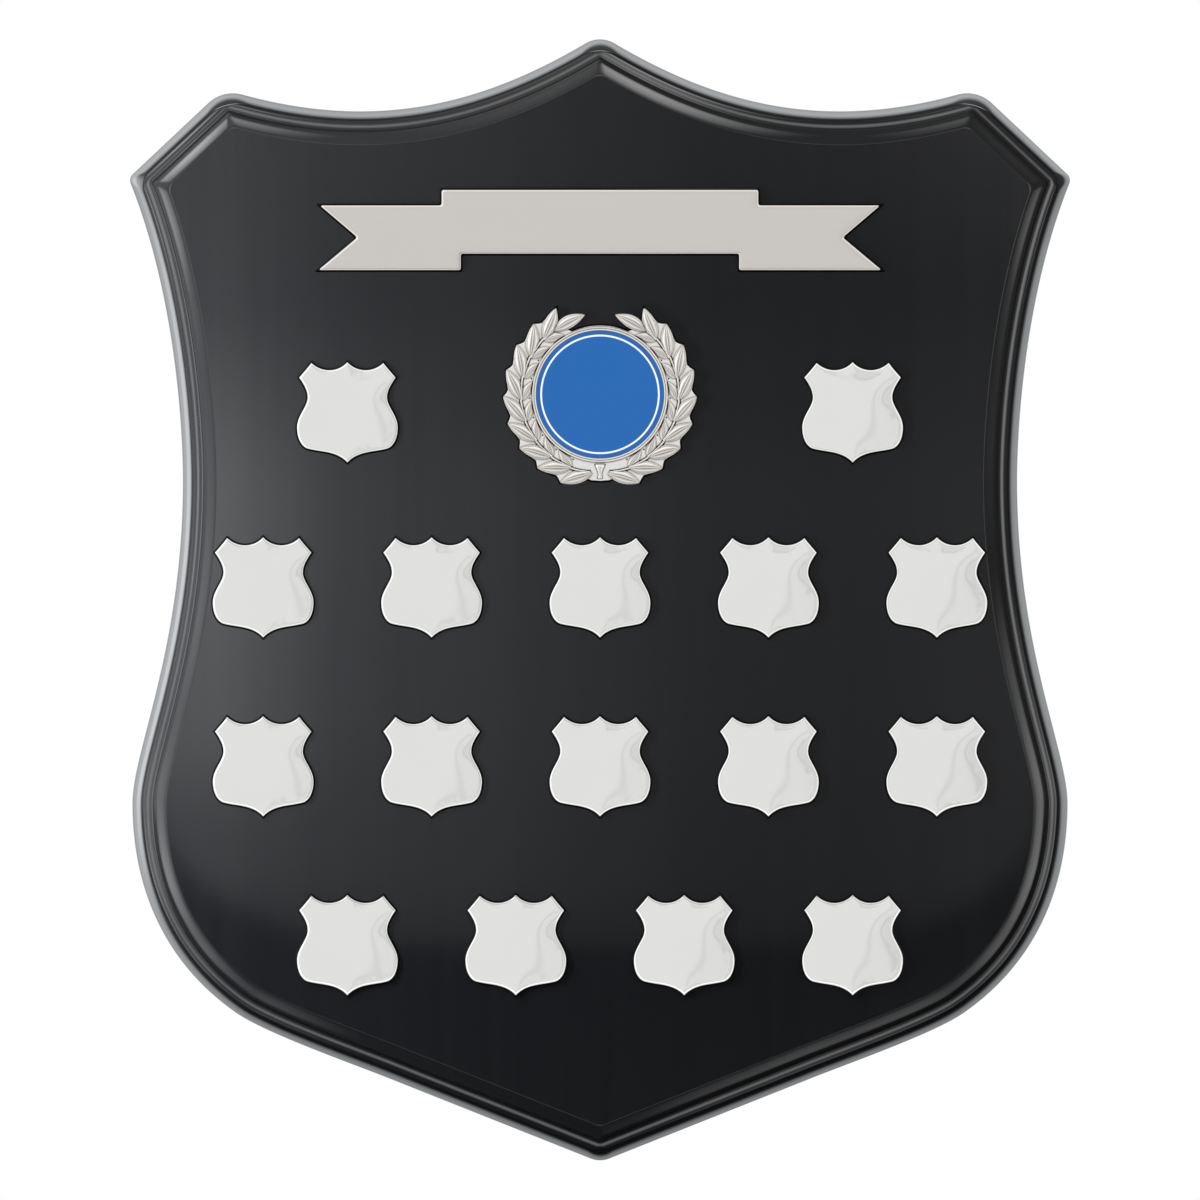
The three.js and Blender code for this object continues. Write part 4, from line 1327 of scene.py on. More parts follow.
# %% [markdown]
# ## Round insert
# The insert is a printed disc of thin metal with a bevelled edge, held in the bezel by a film of
# adhesive, and the whole wreath is held to the board by a disc of foam tape. All three are turned
# shapes. A modifier that spins a profile would make them too; rings of points give cleaner rims.

# %% Build the insert, its film and the foam behind the wreath
INSERT_RADIUS = 24.6
INSERT_THICKNESS = 1.0
FILM_THICKNESS = 0.5
FILM_RADIUS = 22
INSERT_STEPS, FILM_STEPS = 160, 96


def lathed(name, section, steps):
    """A solid turned about the wreath's centre: pairs of radius and height, from the back."""
    bm = bmesh.new()
    loops = [ring_vertices(bm, circle_ring(radius, steps), out) for radius, out in section]
    skin_stack(bm, loops)
    fill_flat(bm, [loops[0]], TO_BACK)
    fill_flat(bm, [loops[-1]], TO_FRONT)
    bmesh.ops.translate(bm, vec=on_plaque(0, WREATH_UP, BOARD_THICKNESS), verts=bm.verts)
    return piece_from(bm, name)


insert_foot = WREATH_PLATE + FILM_THICKNESS
insert_top = insert_foot + INSERT_THICKNESS
insert = lathed("round_insert_printed", [
    (INSERT_RADIUS - 0.1, insert_foot),
    (INSERT_RADIUS, insert_foot + 0.1),
    (INSERT_RADIUS, insert_top - 0.25),
    (INSERT_RADIUS - 0.06, insert_top - 0.1),
    (INSERT_RADIUS - 0.16, insert_top - 0.02),
    (INSERT_RADIUS - 0.3, insert_top),
], INSERT_STEPS)
film = lathed("insert_film_clear", [
    (FILM_RADIUS - 0.1, WREATH_PLATE),
    (FILM_RADIUS, WREATH_PLATE + 0.05),
    (FILM_RADIUS, insert_foot - 0.05),
    (FILM_RADIUS - 0.1, insert_foot),
], FILM_STEPS)
tape = lathed("wreath_tape_foam", [
    (FILM_RADIUS - 0.15, 0),
    (FILM_RADIUS, PRESSED_RIM),
    (FILM_RADIUS, TAPE_THICKNESS - PRESSED_RIM),
    (FILM_RADIUS - 0.15, TAPE_THICKNESS),
], FILM_STEPS)

# %% [markdown]
# The print is a plain blue field with one fine white ring, and the disc's edge is bare metal with a
# warm tone. An image would tie it to one size, so the colours are chosen by distance from the
# centre. Fine noise breaks up the ink, and a thin coat gives it the gloss of a printed sheet.

# %% The print, by distance from the disc's centre
PRINT_RING_RADIUS = 22.0
PRINT_RING_HALF = 0.33
PRINT_SOFT = 0.05
PRINT_DOTS_PER_METRE = 1500
BARE_EDGE = (0.6, 0.5)
PRINT_BLUES = (0.007, 0.122, 0.425), (0.009, 0.132, 0.45)
PRINT_WHITE = (0.9, 0.9, 0.89)
PRINT_ROUGHNESS = (0.34, 0.46)
WARM_EDGE = (0.82, 0.68, 0.5)


def printed_material():
    material, tree, shader, place = new_finish(
        "printed_disc", Coat_Weight=0.3, Coat_Roughness=0.08, IOR=1.5
    )
    centred = vector_node(tree, "ADD", place, on_plaque(0, -WREATH_UP, 0))
    radius = length_of(tree, vector_node(tree, "MULTIPLY", centred, (1, 0, 1)))
    off_ring = math_node(tree, "SUBTRACT", radius, PRINT_RING_RADIUS * MM)
    off_ring = math_node(tree, "ABSOLUTE", off_ring)
    start, end = (PRINT_RING_HALF - PRINT_SOFT) * MM, (PRINT_RING_HALF + PRINT_SOFT) * MM
    ring = map_range(tree, off_ring, 1.0, 0.0, start, end)
    start, end = ((INSERT_RADIUS - inset) * MM for inset in BARE_EDGE)
    rim = map_range(tree, radius, 0.0, 1.0, start, end)
    dots = noise(tree, place, PRINT_DOTS_PER_METRE, 2)
    inked = mix_colours(tree, ring, mix_colours(tree, dots, *PRINT_BLUES), PRINT_WHITE)
    return finished(
        material, shader,
        Base_Color=mix_colours(tree, rim, inked, WARM_EDGE),
        Roughness=map_range(tree, dots, *PRINT_ROUGHNESS),
    )


insert.data.materials.append(printed_material())
tape.data.materials.append(foam)

# %% [markdown]
# The film of adhesive is hidden under the disc. It is clear on the real object, but a see-through
# film between two solids would only cost time, so it is a pale, cloudy and fairly dull plastic.

# %% The film, a little cloudy
FILM_CLOUDS_PER_METRE = 300
FILM_ROUGHNESS = (0.4, 0.7)
FILM_TINTS = (0.78, 0.78, 0.74), (0.84, 0.84, 0.81)


def film_material():
    material, tree, shader, place = new_finish("clear_film", IOR=1.47)
    haze = noise(tree, place, FILM_CLOUDS_PER_METRE, 2)
    return finished(
        material, shader,
        Base_Color=mix_colours(tree, haze, *FILM_TINTS),
        Roughness=map_range(tree, haze, *FILM_ROUGHNESS),
    )


film.data.materials.append(film_material())
for piece, slot, node in (
    (insert, "printed_blue", "round_insert"),
    (film, "clear_film", "insert_film"),
    (tape, "white_foam", "wreath_tape"),
):
    tell(piece)
    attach(piece, BODY)
    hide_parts(node)

# %% [markdown]
# ## Hanger and screws
# The back carries a zinc plated keyhole hanger in its recess, and two countersunk screws with a
# cross recess. The plate's openings could be cut by booleans, but drawn as loops they get a small
# broken edge for nothing. The screw is drawn once, and Geometry Nodes set it on its two places.

# %% Build the hanger
EDGE_BREAK = 0.15
HANGER_EDGE = [
    (-EDGE_BREAK, 0),
    (0, EDGE_BREAK),
    (0, HANGER_THICKNESS - EDGE_BREAK),
    (-EDGE_BREAK, HANGER_THICKNESS),
]
SCREW_SINK = [(3.6, 0), (3.5, 0.1), (3.5, 0.3), (2.04, HANGER_THICKNESS)]
SCREW_STEPS = 32
ENTRANCE_POINTS = 41
SLOT_POINTS = 17


def keyhole_ring(grow):
    """A round entrance joined to a narrow slot with a round top, anticlockwise."""
    entrance, half_slot = KEYHOLE_DIAMETER / 2 + grow, KEYSLOT_WIDTH / 2 + grow
    opening = math.asin(half_slot / entrance)
    round_turn = np.linspace(math.pi / 2 + opening, math.pi * 2.5 - opening, ENTRANCE_POINTS)
    slot_turn = np.linspace(0, math.pi, SLOT_POINTS)
    return np.concatenate([
        on_circle(round_turn) * entrance + (0, HANGER_UP - KEYHOLE_DOWN),
        on_circle(slot_turn) * half_slot + (0, HANGER_UP + KEYSLOT_UP),
    ])


def build_hanger():
    bm = bmesh.new()
    outer = [ring_vertices(bm, hanger_ring(grow), out) for grow, out in HANGER_EDGE]
    openings = [[ring_vertices(bm, keyhole_ring(-grow), out) for grow, out in HANGER_EDGE]]
    for screw_up in (HANGER_SCREW_UP, -HANGER_SCREW_UP):
        openings.append([
            ring_vertices(bm, circle_ring(radius, SCREW_STEPS) + (0, HANGER_UP + screw_up), out)
            for radius, out in SCREW_SINK
        ])
    skin_stack(bm, outer)
    for loops in openings:
        for lower, upper in zip(loops, loops[1:]):
            skin(bm, upper, lower)
    fill_flat(bm, [outer[0], *[loops[0] for loops in openings]], TO_BACK)
    fill_flat(bm, [outer[-1], *[loops[-1] for loops in openings]], TO_FRONT)
    return piece_from(bm, "keyhole_hanger_zinc")


hanger = build_hanger()
tell(hanger)

# %% Draw one screw: a countersunk head, a thread and a point
SCREW_SUNK = 0.3
SCREW_HEAD = [(3.05, 0), (3.2, 0.08), (3.2, 0.22), (1.5, 1.6)]
SCREW_THREAD = [(1.5, 2.2), (1.15, 2.5), (1.15, 2.9)]
THREAD_TURNS = 5
SCREW_POINT = [(1.5, 7.4), (1.0, 8.2), (0.5, 9.2), (0.06, 10)]
CROSS_MOUTH = (0.45, 1.7)
CROSS_FLOOR = (0.25, 0.75)
CROSS_DEPTH = 1.2


def cross_ring(half_width, half_length):
    corners = [(half_length, half_width), (half_width, half_width), (half_width, half_length)]
    ring = []
    for _ in range(4):
        ring += corners
        corners = [(-y, x) for x, y in corners]
    return np.array(ring)


def build_screw():
    bm = bmesh.new()
    thread = [(radius, out + turn) for turn in range(THREAD_TURNS) for radius, out in SCREW_THREAD]
    loops = [
        ring_vertices(bm, circle_ring(radius, SCREW_STEPS), SCREW_SUNK + out)
        for radius, out in SCREW_HEAD + thread + SCREW_POINT
    ]
    skin_stack(bm, loops)
    fill_flat(bm, [loops[-1]], TO_FRONT)
    mouth = ring_vertices(bm, cross_ring(*CROSS_MOUTH), SCREW_SUNK)
    floor = ring_vertices(bm, cross_ring(*CROSS_FLOOR), SCREW_SUNK + CROSS_DEPTH)
    skin(bm, floor, mouth, smooth=False)
    fill_flat(bm, [floor], TO_BACK)
    fill_flat(bm, [loops[0], mouth], TO_BACK)
    return piece_from(bm, "hanger_screws_zinc")


# %% [markdown]
# Zinc plate is a dull grey metal with a faint spangle of crystals and fine scratches along the
# part. Plain noise would make clouds; the cells of a Voronoi texture, turned to grey, vary both its
# tone and its roughness from crystal to crystal.

# %% Zinc with its spangle and fine scratches
SPANGLES_PER_METRE = 700
ZINC_ROUGHNESS = (0.3, 0.42)
ZINC_GREYS = (0.42, 0.43, 0.44), (0.52, 0.53, 0.54)
SCRATCH_STRETCH = (300, 300, 40)


def zinc_material():
    material, tree, shader, place = new_finish("zinc_steel", Metallic=1.0)
    spangle = add_node(tree, "ShaderNodeTexVoronoi", {"Vector": place, "Scale": SPANGLES_PER_METRE})
    shade = add_node(tree, "ShaderNodeRGBToBW", {0: spangle.outputs["Color"]}).outputs[0]
    scratches = noise(tree, stretched(tree, place, SCRATCH_STRETCH), 8, 3)
    return finished(
        material, shader,
        Base_Color=mix_colours(tree, shade, *ZINC_GREYS),
        Roughness=map_range(tree, shade, *ZINC_ROUGHNESS),
        Normal=bump(tree, scratches, strength=0.1, depth=0.05),
    )


zinc = zinc_material()
hanger.data.materials.append(zinc)

# %% Set the screw on two points, one at each end of the hanger
screws = build_screw()
tree, inputs = nodes_tree("screw_pair", ["Hanger up", "Screw up"])
start = math_node(tree, "SUBTRACT", inputs["Hanger up"], inputs["Screw up"])
gap = math_node(tree, "MULTIPLY", inputs["Screw up"], 2.0)
points = add_node(tree, "GeometryNodeMeshLine", {
    "Count": 2,
    "Start Location": combine(tree, 0.0, start),
    "Offset": combine(tree, 0.0, gap),
}).outputs[0]
placed = add_node(tree, "GeometryNodeInstanceOnPoints", {
    "Points": points, "Instance": inputs["Geometry"],
})
finish_tree(tree, placed.outputs[0], zinc)
apply_tree(screws, tree, {"Hanger up": HANGER_UP * MM, "Screw up": HANGER_SCREW_UP * MM})
for piece, nodes in (
    (hanger, ["keyhole_hanger"]),
    (screws, ["hanger_screw_top", "hanger_screw_bottom"]),
):
    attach(piece, BODY)
    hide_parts(*nodes)

# %% [markdown]
# ## Studio
# A pale floor lies well below the plaque. The world is white for the camera and even for diffuse
# light. For glossy rays it is a dim room with a direction to it, as a light tent with a dark mouth
# is: a board that mirrors a white room would be grey. Only the world's own shader reads a
# direction.

# %% Camera far in front, with a long lens
camera_data = bpy.data.cameras.new("camera")
camera = bpy.data.objects.new("camera", camera_data)
bpy.context.scene.collection.objects.link(camera)
bpy.context.scene.camera = camera
CAMERA_DISTANCE = 6
VIEW_WIDTH = 0.45
VIEW_PLANE_OUT = 0.004
camera_data.sensor_width = 36
camera_data.lens = camera_data.sensor_width * (CAMERA_DISTANCE - VIEW_PLANE_OUT) / VIEW_WIDTH
camera_data.clip_end = 100
camera.location = (0, -CAMERA_DISTANCE, 0)
camera.rotation_euler = (math.radians(90), 0, 0)

# %% World: levels by degrees off the camera's side, and faint glows with a direction and a power
WORLD_STOPS = [(0, 0.02), (60, 0.025), (110, 0.04), (140, 0.15), (180, 0.2)]
ROOM_GLOWS = [((-0.93, 0.25, 0.25), 3, 0.9), ((0.93, 0.3, 0.2), 4, 0.3), ((0, 0.3, 0.95), 4, 0.6)]
DIFFUSE_LEVEL = 0.85


def grey_ramp(tree, value, stops, span, interpolation="EASE"):
    """A grey level by a value between nothing and the span; a stop is a value and a level."""
    node = add_node(tree, "ShaderNodeValToRGB", {0: math_node(tree, "DIVIDE", value, span)})
    node.color_ramp.interpolation = interpolation
    set_stops(node.color_ramp, [(place / span, (level,) * 3) for place, level in stops])
    return node.outputs[0]


world = bpy.data.worlds.new("light_tent")
bpy.context.scene.world = world
world.use_nodes = True
world.cycles.sampling_method = "NONE"
tree = world.node_tree
tree.nodes.clear()
direction = add_node(tree, "ShaderNodeTexCoord").outputs["Generated"]
parts = add_node(tree, "ShaderNodeSeparateXYZ", {0: direction}).outputs
facing = math_node(tree, "MULTIPLY", parts["Y"], -1)
degrees_off = math_node(tree, "DEGREES", math_node(tree, "ARCCOSINE", facing))
room = grey_ramp(tree, degrees_off, WORLD_STOPS, 180, "LINEAR")
for toward, power, strength in ROOM_GLOWS:
    inputs = {0: direction, 1: toward}
    aligned = add_node(tree, "ShaderNodeVectorMath", inputs, operation="DOT_PRODUCT")
    lit = math_node(tree, "MAXIMUM", aligned.outputs["Value"], 0.0)
    room = math_node(tree, "MULTIPLY_ADD", math_node(tree, "POWER", lit, power), strength, room)
path = add_node(tree, "ShaderNodeLightPath").outputs
gloss = mix_levels(tree, path["Is Glossy Ray"], DIFFUSE_LEVEL, room)
level = mix_levels(tree, path["Is Camera Ray"], gloss, 1.0)
background = add_node(tree, "ShaderNodeBackground", {"Color": (1, 1, 1, 1), "Strength": level})
add_node(tree, "ShaderNodeOutputWorld", {"Surface": background.outputs[0]})
print("world:", len(tree.nodes), "nodes")

# %% [markdown]
# Lights are area lights. The soft key and fill shape matt surfaces only. Each card is there for its
# reflection alone, and is linked to the lacquer or to the metal, because the black face wants a dim
# card in front of it where the plates want a bright one. A card's own shader draws its soft edges.

# %% The floor lies below the plaque and fades into the white round about
FLOOR_DOWN = 0.3
FLOOR_RADIUS = 1.9
FLOOR_STEPS = 96
FADE_SHARES = (0.3, 0.95)


def build_floor():
    bm = bmesh.new()
    ring = [bm.verts.new((x, y, -FLOOR_DOWN)) for x, y in circle_ring(FLOOR_RADIUS, FLOOR_STEPS)]
    bm.faces.new(ring)
    floor = piece_from(bm, "floor")
    material, tree, shader, place = new_finish(
        "floor_white", Roughness=0.9, Base_Color=(0.9, 0.9, 0.9, 1)
    )
    radius = length_of(tree, vector_node(tree, "MULTIPLY", place, (1, 1, 0)))
    start, end = (FLOOR_RADIUS * share for share in FADE_SHARES)
    far = map_range(tree, radius, 0, 1, start, end, "SMOOTHSTEP")
    white = add_node(tree, "ShaderNodeEmission", {"Color": (1, 1, 1, 1), "Strength": 1.0})
    both = {0: far, 1: shader.outputs[0], 2: white.outputs[0]}
    mixed = add_node(tree, "ShaderNodeMixShader", both).outputs[0]
    tree.links.new(mixed, tree.nodes["Material Output"].inputs["Surface"])
    floor.data.materials.append(material)
    floor.visible_glossy = False


build_floor()

# %% Area lights for matt surfaces, and cards that are only seen in reflections
WATTS_FOR_ONE = 4.0
SOFT_LIGHT_SIZE = (1.6, 1.6)


def area_light(name, place, size, level, turn):
    data = bpy.data.lights.new(name, "AREA")
    data.shape = "RECTANGLE"
    data.size, data.size_y = size
    data.energy = level * size[0] * size[1] * WATTS_FOR_ONE
    light = bpy.data.objects.new(name, data)
    bpy.context.scene.collection.objects.link(light)
    light.location = place
    light.rotation_euler = turn.to_euler()
    light.visible_camera = False
    print(f"light {name}: {size[0]} by {size[1]} m")
    return light


def reflected_light(name, centre, size, turn, group):
    """A light for gloss alone. Returns its tree and the place on it, in shares of its size."""
    light = area_light(name, centre, size, 1, turn)
    light.visible_diffuse = False
    light.light_linking.receiver_collection = group
    light.data.use_nodes = True
    tree = light.data.node_tree
    place = add_node(tree, "ShaderNodeNewGeometry").outputs["Parametric"]
    return tree, vector_node(tree, "SUBTRACT", place, (0.5, 0.5, 0))


def card(name, centre, size, targets, behind=False):
    """A card across the view. Returns its tree and the place on it, in metres."""
    group = bpy.data.collections.new(name + "_targets")
    for target in targets:
        group.objects.link(target)
    tilt = Matrix.Rotation(math.radians(-90 if behind else 90), 3, "X")
    tree, place = reflected_light(name, centre, size, tilt, group)
    return tree, vector_node(tree, "MULTIPLY", place, (*size, 0))


def shine(tree, level, *shares):
    """Sets the strength of a card, as the product of a level and of shares."""
    for share in shares:
        level = math_node(tree, "MULTIPLY", level, share)
    tree.links.new(level, tree.nodes["Emission"].inputs["Strength"])


def fade(tree, value, start, end):
    """Falls softly from one to nothing as the value goes from start to end."""
    return map_range(tree, value, 1, 0, start, end, "SMOOTHSTEP")


def split(tree, place):
    """How far across and how far up a point lies on its card."""
    return add_node(tree, "ShaderNodeSeparateXYZ", {0: place}).outputs[:2]


for name, place, level in (("key", (-1.6, -2.6, 2.0), 4.0), ("fill", (2.2, -2.4, 0.4), 1.2)):
    turn = (-Vector(place)).to_track_quat("-Z", "Y")
    area_light(name, place, SOFT_LIGHT_SIZE, level, turn).visible_glossy = False

# %% A dim card before the face: a wide glow all over, and a brighter one along its left edge
CARD_OUT = 0.6
FACE_CARD_SIZE = (0.46, 0.56)
FACE_SPAN = (0.4, 0.48)
FACE_CARD_ROUND = (0.19, 0.142)
LEFT_ACROSS = [(0, 0.65), (0.045, 0.9), (0.066, 0.47), (0.093, 0.1), (0.12, 0)]
LEFT_UP = [
    (0.1, 0), (0.137, 0.2), (0.199, 0.75), (0.281, 1), (0.368, 0.32), (0.426, 0.2), (0.48, 0.15),
]
WIDE_ACROSS = [
    (0, 0.36), (0.12, 0.37), (0.15, 0.35), (0.175, 0.285), (0.2, 0.24), (0.25, 0.17), (0.307, 0.17),
    (0.355, 0.22), (0.4, 0.24),
]
WIDE_UP = [
    (0.09, 0.42), (0.137, 0.75), (0.199, 0.92), (0.281, 1), (0.33, 0.75), (0.368, 0.58),
    (0.426, 0.76),
]
lacquered = [board]
tree, place = card("face_card", (0, -CARD_OUT, 0), FACE_CARD_SIZE, lacquered)
across, up = split(tree, place)
from_left = math_node(tree, "ADD", across, FACE_SPAN[0] / 2)
from_foot = math_node(tree, "ADD", up, FACE_SPAN[1] / 2)
level = math_node(
    tree, "MULTIPLY",
    grey_ramp(tree, from_left, WIDE_ACROSS, FACE_SPAN[0]),
    grey_ramp(tree, from_foot, WIDE_UP, FACE_SPAN[1]),
)
level = math_node(
    tree, "MULTIPLY_ADD",
    grey_ramp(tree, from_left, LEFT_ACROSS, FACE_SPAN[0]),
    grey_ramp(tree, from_foot, LEFT_UP, FACE_SPAN[1]),
    level,
)

# %% The face card's foot is cut to an oval with square shoulders, like the foot of the shield
FOOT_POWER = 4
FOOT_STARTS = (-0.06, -0.03)
FOOT_FADE = (0.9, 1.1)
aside = math_node(tree, "ABSOLUTE", math_node(tree, "DIVIDE", across, FACE_CARD_ROUND[0]))
below = math_node(tree, "MAXIMUM", math_node(tree, "DIVIDE", up, -FACE_CARD_ROUND[1]), 0)
aside, below = (math_node(tree, "POWER", part, FOOT_POWER) for part in (aside, below))
is_below = fade(tree, up, *FOOT_STARTS)
oval = math_node(tree, "MULTIPLY_ADD", aside, is_below, below)
shine(tree, level, fade(tree, oval, *FOOT_FADE))

# %% A wide frame of light round the face card, for the rounded shoulder of the moulding
SHOULDER_SPAN = 3
SHOULDER_SQUASH = (1, 0.9, 0)
SHOULDER_INNER_FADE = (0.27, 0.245)
SHOULDER_OUTER_FADE = (0.8, 1.3)
SHOULDER_ACROSS = [(0, 1), (1.15, 1), (1.3, 0.65), (1.4, 0.45), (1.6, 0.22), (1.9, 0.2)]
SHOULDER_UP = [
    (0, 0.05), (1.2, 0.1), (1.35, 0.25), (1.42, 0.9), (1.5, 1), (1.57, 0.7), (1.67, 0.75), (1.8, 1),
]
tree, place = card("shoulder_card", (0, -CARD_OUT, 0), (SHOULDER_SPAN, SHOULDER_SPAN), lacquered)
radius = length_of(tree, vector_node(tree, "MULTIPLY", place, SHOULDER_SQUASH))
from_left, from_foot = (
    math_node(tree, "ADD", part, SHOULDER_SPAN / 2) for part in split(tree, place)
)
shine(
    tree,
    grey_ramp(tree, from_left, SHOULDER_ACROSS, SHOULDER_SPAN),
    grey_ramp(tree, from_foot, SHOULDER_UP, SHOULDER_SPAN),
    math_node(
        tree, "MULTIPLY",
        fade(tree, radius, *SHOULDER_INNER_FADE),
        fade(tree, radius, *SHOULDER_OUTER_FADE),
    ),
)

# %% A far ring of light that only the shallow valley of the moulding mirrors
VALLEY_OUT = 10
VALLEY_CARD_SIZE = (6, 6)
VALLEY_RING = [(0, 0), (0.64, 0), (1.0, 1), (1.4, 1), (1.7, 0.4), (1.95, 0.1), (2.2, 0)]
VALLEY_SPAN = 3
VALLEY_LEVEL = 2.8
tree, place = card("valley_ring", (0, -VALLEY_OUT, 0), VALLEY_CARD_SIZE, lacquered)
shine(tree, grey_ramp(tree, length_of(tree, place), VALLEY_RING, VALLEY_SPAN), VALLEY_LEVEL)

# %% Soft spots that the rounded shoulder mirrors. Each row is a place, a radius and two levels.
RIM_GLOWS = [
    (crown_run, 0.14, 50, 0.35, 3.7),
    (crown_run, 0.97, 34, 2.2, 0.85),
    (side_run, 0.03, 34, 2.6, 1.0),
    (side_run, 0.09, 40, 0.5, 0.3),
    (side_run, 0.2, 50, 0.15, 0.15),
    (side_run, 0.28, 50, 0.3, 0.0),
    (side_run, 0.35, 50, 0.6, 0.0),
    (side_run, 0.42, 50, 0.1, 0.85),
    (side_run, 0.49, 50, 0.9, 1.7),
    (side_run, 0.56, 50, 2.8, 2.0),
    (side_run, 0.63, 50, 1.4, 1.2),
    (side_run, 0.71, 50, 0.6, 0.7),
    (side_run, 0.79, 50, 0.0, 0.65),
    (side_run, 0.87, 50, 0.0, 0.5),
    (side_run, 0.95, 50, 0.0, 0.15),
]
CHAMFER_GLOW = (36, 5.2, 0.15)
GLOW_CARD_SIZE = (0.62, 0.66)
GLOW_DISTANCE = 150
GLOW_INSET = 10.5
GLOW_SLOPE = 10.5
chamfer_middle = (crown_corner + side_run.points[0]) / 2 + shoulder_inward * GLOW_INSET
glow_spots = [(chamfer_middle, -shoulder_inward, *CHAMFER_GLOW)]
for run, share, *spot in RIM_GLOWS:
    glow_spots.append((run.inset(share, GLOW_INSET), -run.normal(share), *spot))
tree, place = card("rim_glows", (0, -GLOW_DISTANCE * MM, 0), GLOW_CARD_SIZE, lacquered)
reach = GLOW_DISTANCE * math.tan(math.radians(2 * GLOW_SLOPE))
glow = 0.0
for spot, outward, radius, *levels in glow_spots:
    centre = spot * (1 + GLOW_DISTANCE * MM / CAMERA_DISTANCE) + outward * reach
    for side, level in zip((-1, 1), levels):
        if level > 0:
            offset = (-side * centre[0] * MM, -centre[1] * MM, 0)
            gap = length_of(tree, vector_node(tree, "ADD", place, offset))
            glow = math_node(tree, "MULTIPLY_ADD", fade(tree, gap, 0, radius * MM), level, glow)
shine(tree, glow)

# %% A broad halo behind the board for its steep edge: an oval glow, dim right behind the board
HALO_PLACE = (0, 1.4, 0)
HALO_SIZE = (12, 12)
HALO_LEVEL = 2.7
HALO_COLOUR = (0.93, 0.97, 1.0)
OVAL_OFFSET = (0.75, 0.8, 0)
OVAL_SHARES = (1 / 1.5, 1 / 1.1, 0)
OVAL_SPAN = 4
OVAL_STOPS = [
    (0, 0.95), (1.3, 0.95), (1.6, 0.85), (1.9, 0.68), (2.3, 0.58), (2.7, 0.4), (3.2, 0.16),
    (3.6, 0.05), (4, 0),
]
HOLE_SPAN = 6
HOLE_STOPS = [(0, 0.2), (1.0, 0.2), (1.5, 0.5), (1.9, 0.68), (2.4, 0.95), (3, 1)]
tree, place = card("halo", HALO_PLACE, HALO_SIZE, lacquered, behind=True)
hole = grey_ramp(tree, length_of(tree, place), HOLE_STOPS, HOLE_SPAN)
oval = vector_node(tree, "MULTIPLY", vector_node(tree, "ADD", place, OVAL_OFFSET), OVAL_SHARES)
shine(tree, grey_ramp(tree, length_of(tree, oval), OVAL_STOPS, OVAL_SPAN), hole, HALO_LEVEL)
bpy.data.lights["halo"].color = HALO_COLOUR
on_lacquer = bpy.data.collections["halo_targets"]

# %% A window at the left of the board, bright in its middle
WINDOW_PLACE = (-2.5, 0.4, 0.15)
WINDOW_SIZE = (3.4, 3.0)
WINDOW_LEVEL = 3
WINDOW_FADE = (0.05, 0.5)
to_right = Matrix.Rotation(math.radians(-90), 3, "Y")
tree, place = reflected_light("left_window", WINDOW_PLACE, WINDOW_SIZE, to_right, on_lacquer)
from_sides, from_ends = (
    fade(tree, math_node(tree, "ABSOLUTE", part), *WINDOW_FADE) for part in split(tree, place)
)
shine(tree, from_sides, from_ends, WINDOW_LEVEL)

# %% The haze of the lacquer is lit from close by on the left, for matt light on the board alone
HAZE_PLACE = (-0.28, -0.15, 0.02)
HAZE_SIZE = (0.04, 0.2)
HAZE_ENERGY = 5.0
HAZE_AIM = (0.9, 0.45, 0)
toward_board = Vector(HAZE_AIM).to_track_quat("-Z", "Y")
haze = area_light("haze", HAZE_PLACE, HAZE_SIZE, 1, toward_board)
haze.data.energy = HAZE_ENERGY
haze.visible_glossy = False
haze.light_linking.receiver_collection = on_lacquer

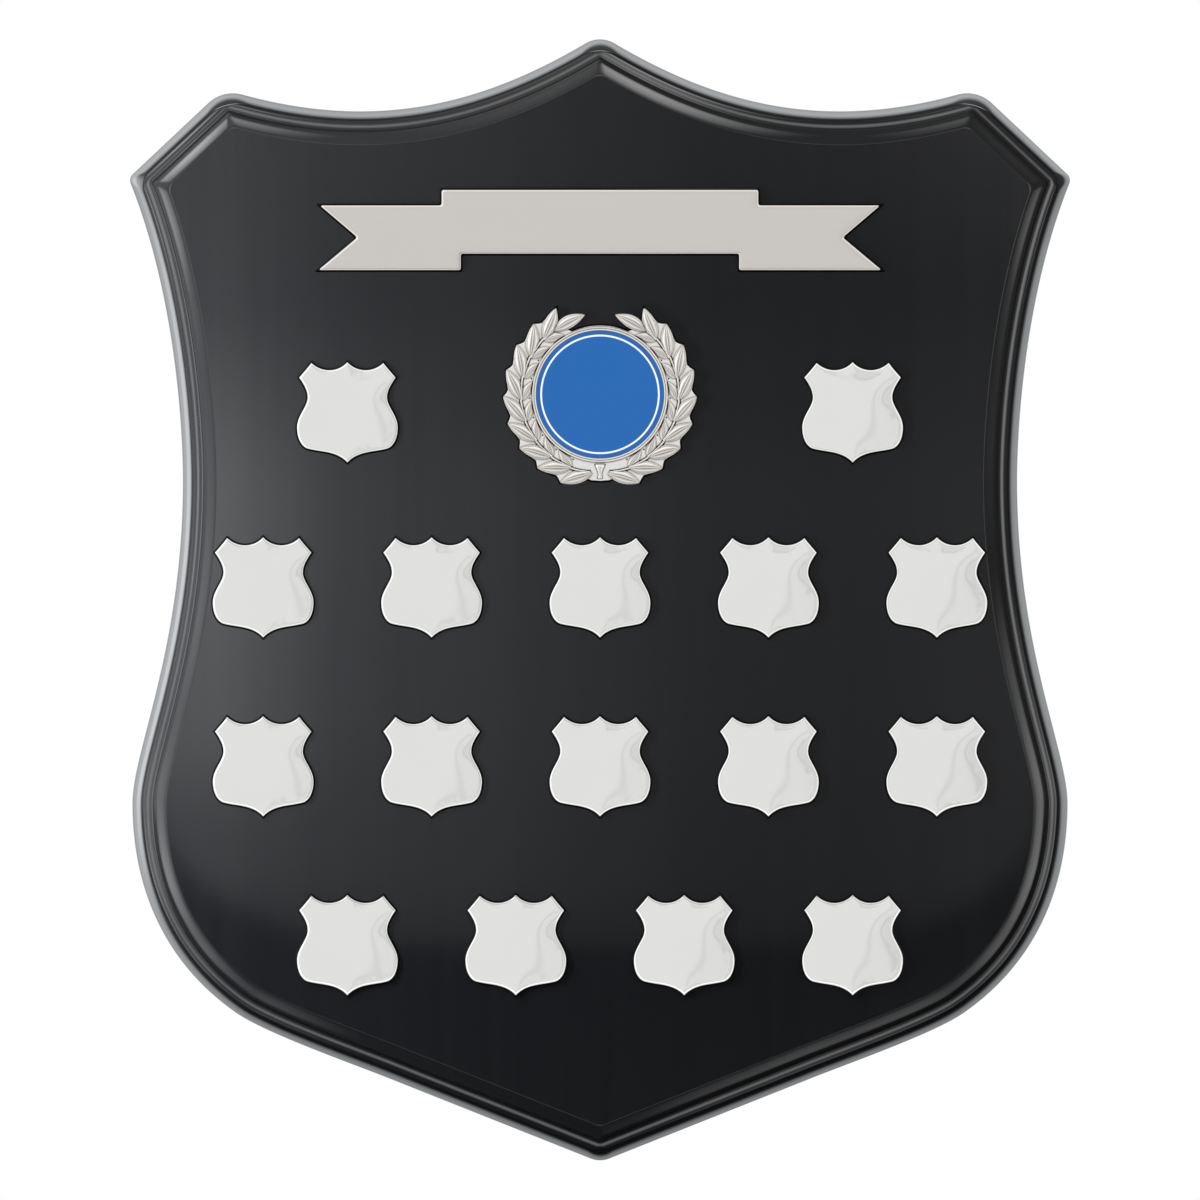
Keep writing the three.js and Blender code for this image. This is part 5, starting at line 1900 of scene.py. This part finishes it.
# %% The metal's far card: a broad bright sheet with two faint seams
SHEET_OUT = 30
SHEET_SIZE = (50, 50)
SHEET_SPAN = 25
SHEET_STOPS = [(0, 0.635), (8, 0.635), (15, 0.54), (SHEET_SPAN, 0.32)]
SEAM_ACROSS = [
    (0, 1), (1.6, 1), (2.0, 0.84), (2.4, 0.97), (3.6, 0.95), (4.0, 0.74), (4.3, 0.88), (8, 0.86),
]
SEAM_UP = [(0, 1), (3.4, 1), (3.8, 0.78), (4.1, 0.9), (8, 0.88)]
SEAM_SPAN = 8
SEAM_LEAN = -0.4
SEAM_FADE = (0.4, -0.4)
pressed = [name_plate, ribbon]
tree, place = card("silver_card", (0, -SHEET_OUT, 0), SHEET_SIZE, pressed + wreath_pieces)
sheet = grey_ramp(tree, length_of(tree, place), SHEET_STOPS, SHEET_SPAN)
across, up = split(tree, place)
downhill = math_node(tree, "MULTIPLY_ADD", up, SEAM_LEAN, across)
seam_across = grey_ramp(tree, downhill, SEAM_ACROSS, SEAM_SPAN)
seam_up = grey_ramp(tree, up, SEAM_UP, SEAM_SPAN)
only_right = fade(tree, across, *SEAM_FADE)
seam_up = mix_levels(tree, only_right, 1.0, seam_up)
shine(tree, sheet, math_node(tree, "MINIMUM", seam_across, seam_up))

# %% Round cards: near surrounds for the metal's steep edges, and one behind for the hanger's zinc
SURROUND_SIZE = (16, 16)
PLATE_SURROUND = [(0, 0), (0.36, 0), (0.52, 0.7), (0.8, 0.74), (1.4, 0.63), (8, 0.6)]
WREATH_SURROUND = [(0, 0), (0.3, 0), (0.6, 0.6), (1.5, 0.85), (8, 0.78)]
ZINC_STOPS = [(0, 0.5), (0.5, 0.9), (1.0, 0.8), (2, 0.2)]
for name, centre, size, pieces, stops, span in (
    ("plate_surround", (0.05, -CARD_OUT, 0.05), SURROUND_SIZE, pressed, PLATE_SURROUND, 8),
    ("wreath_surround", (0, -CARD_OUT, 0), SURROUND_SIZE, wreath_pieces, WREATH_SURROUND, 8),
    ("zinc_card", (0.2, 1.8, 0.6), (4, 4), [hanger, screws], ZINC_STOPS, 2),
):
    tree, place = card(name, centre, size, pieces, behind=centre[1] > 0)
    shine(tree, grey_ramp(tree, length_of(tree, place), stops, span))

bpy.context.scene.view_settings.view_transform = "Standard"
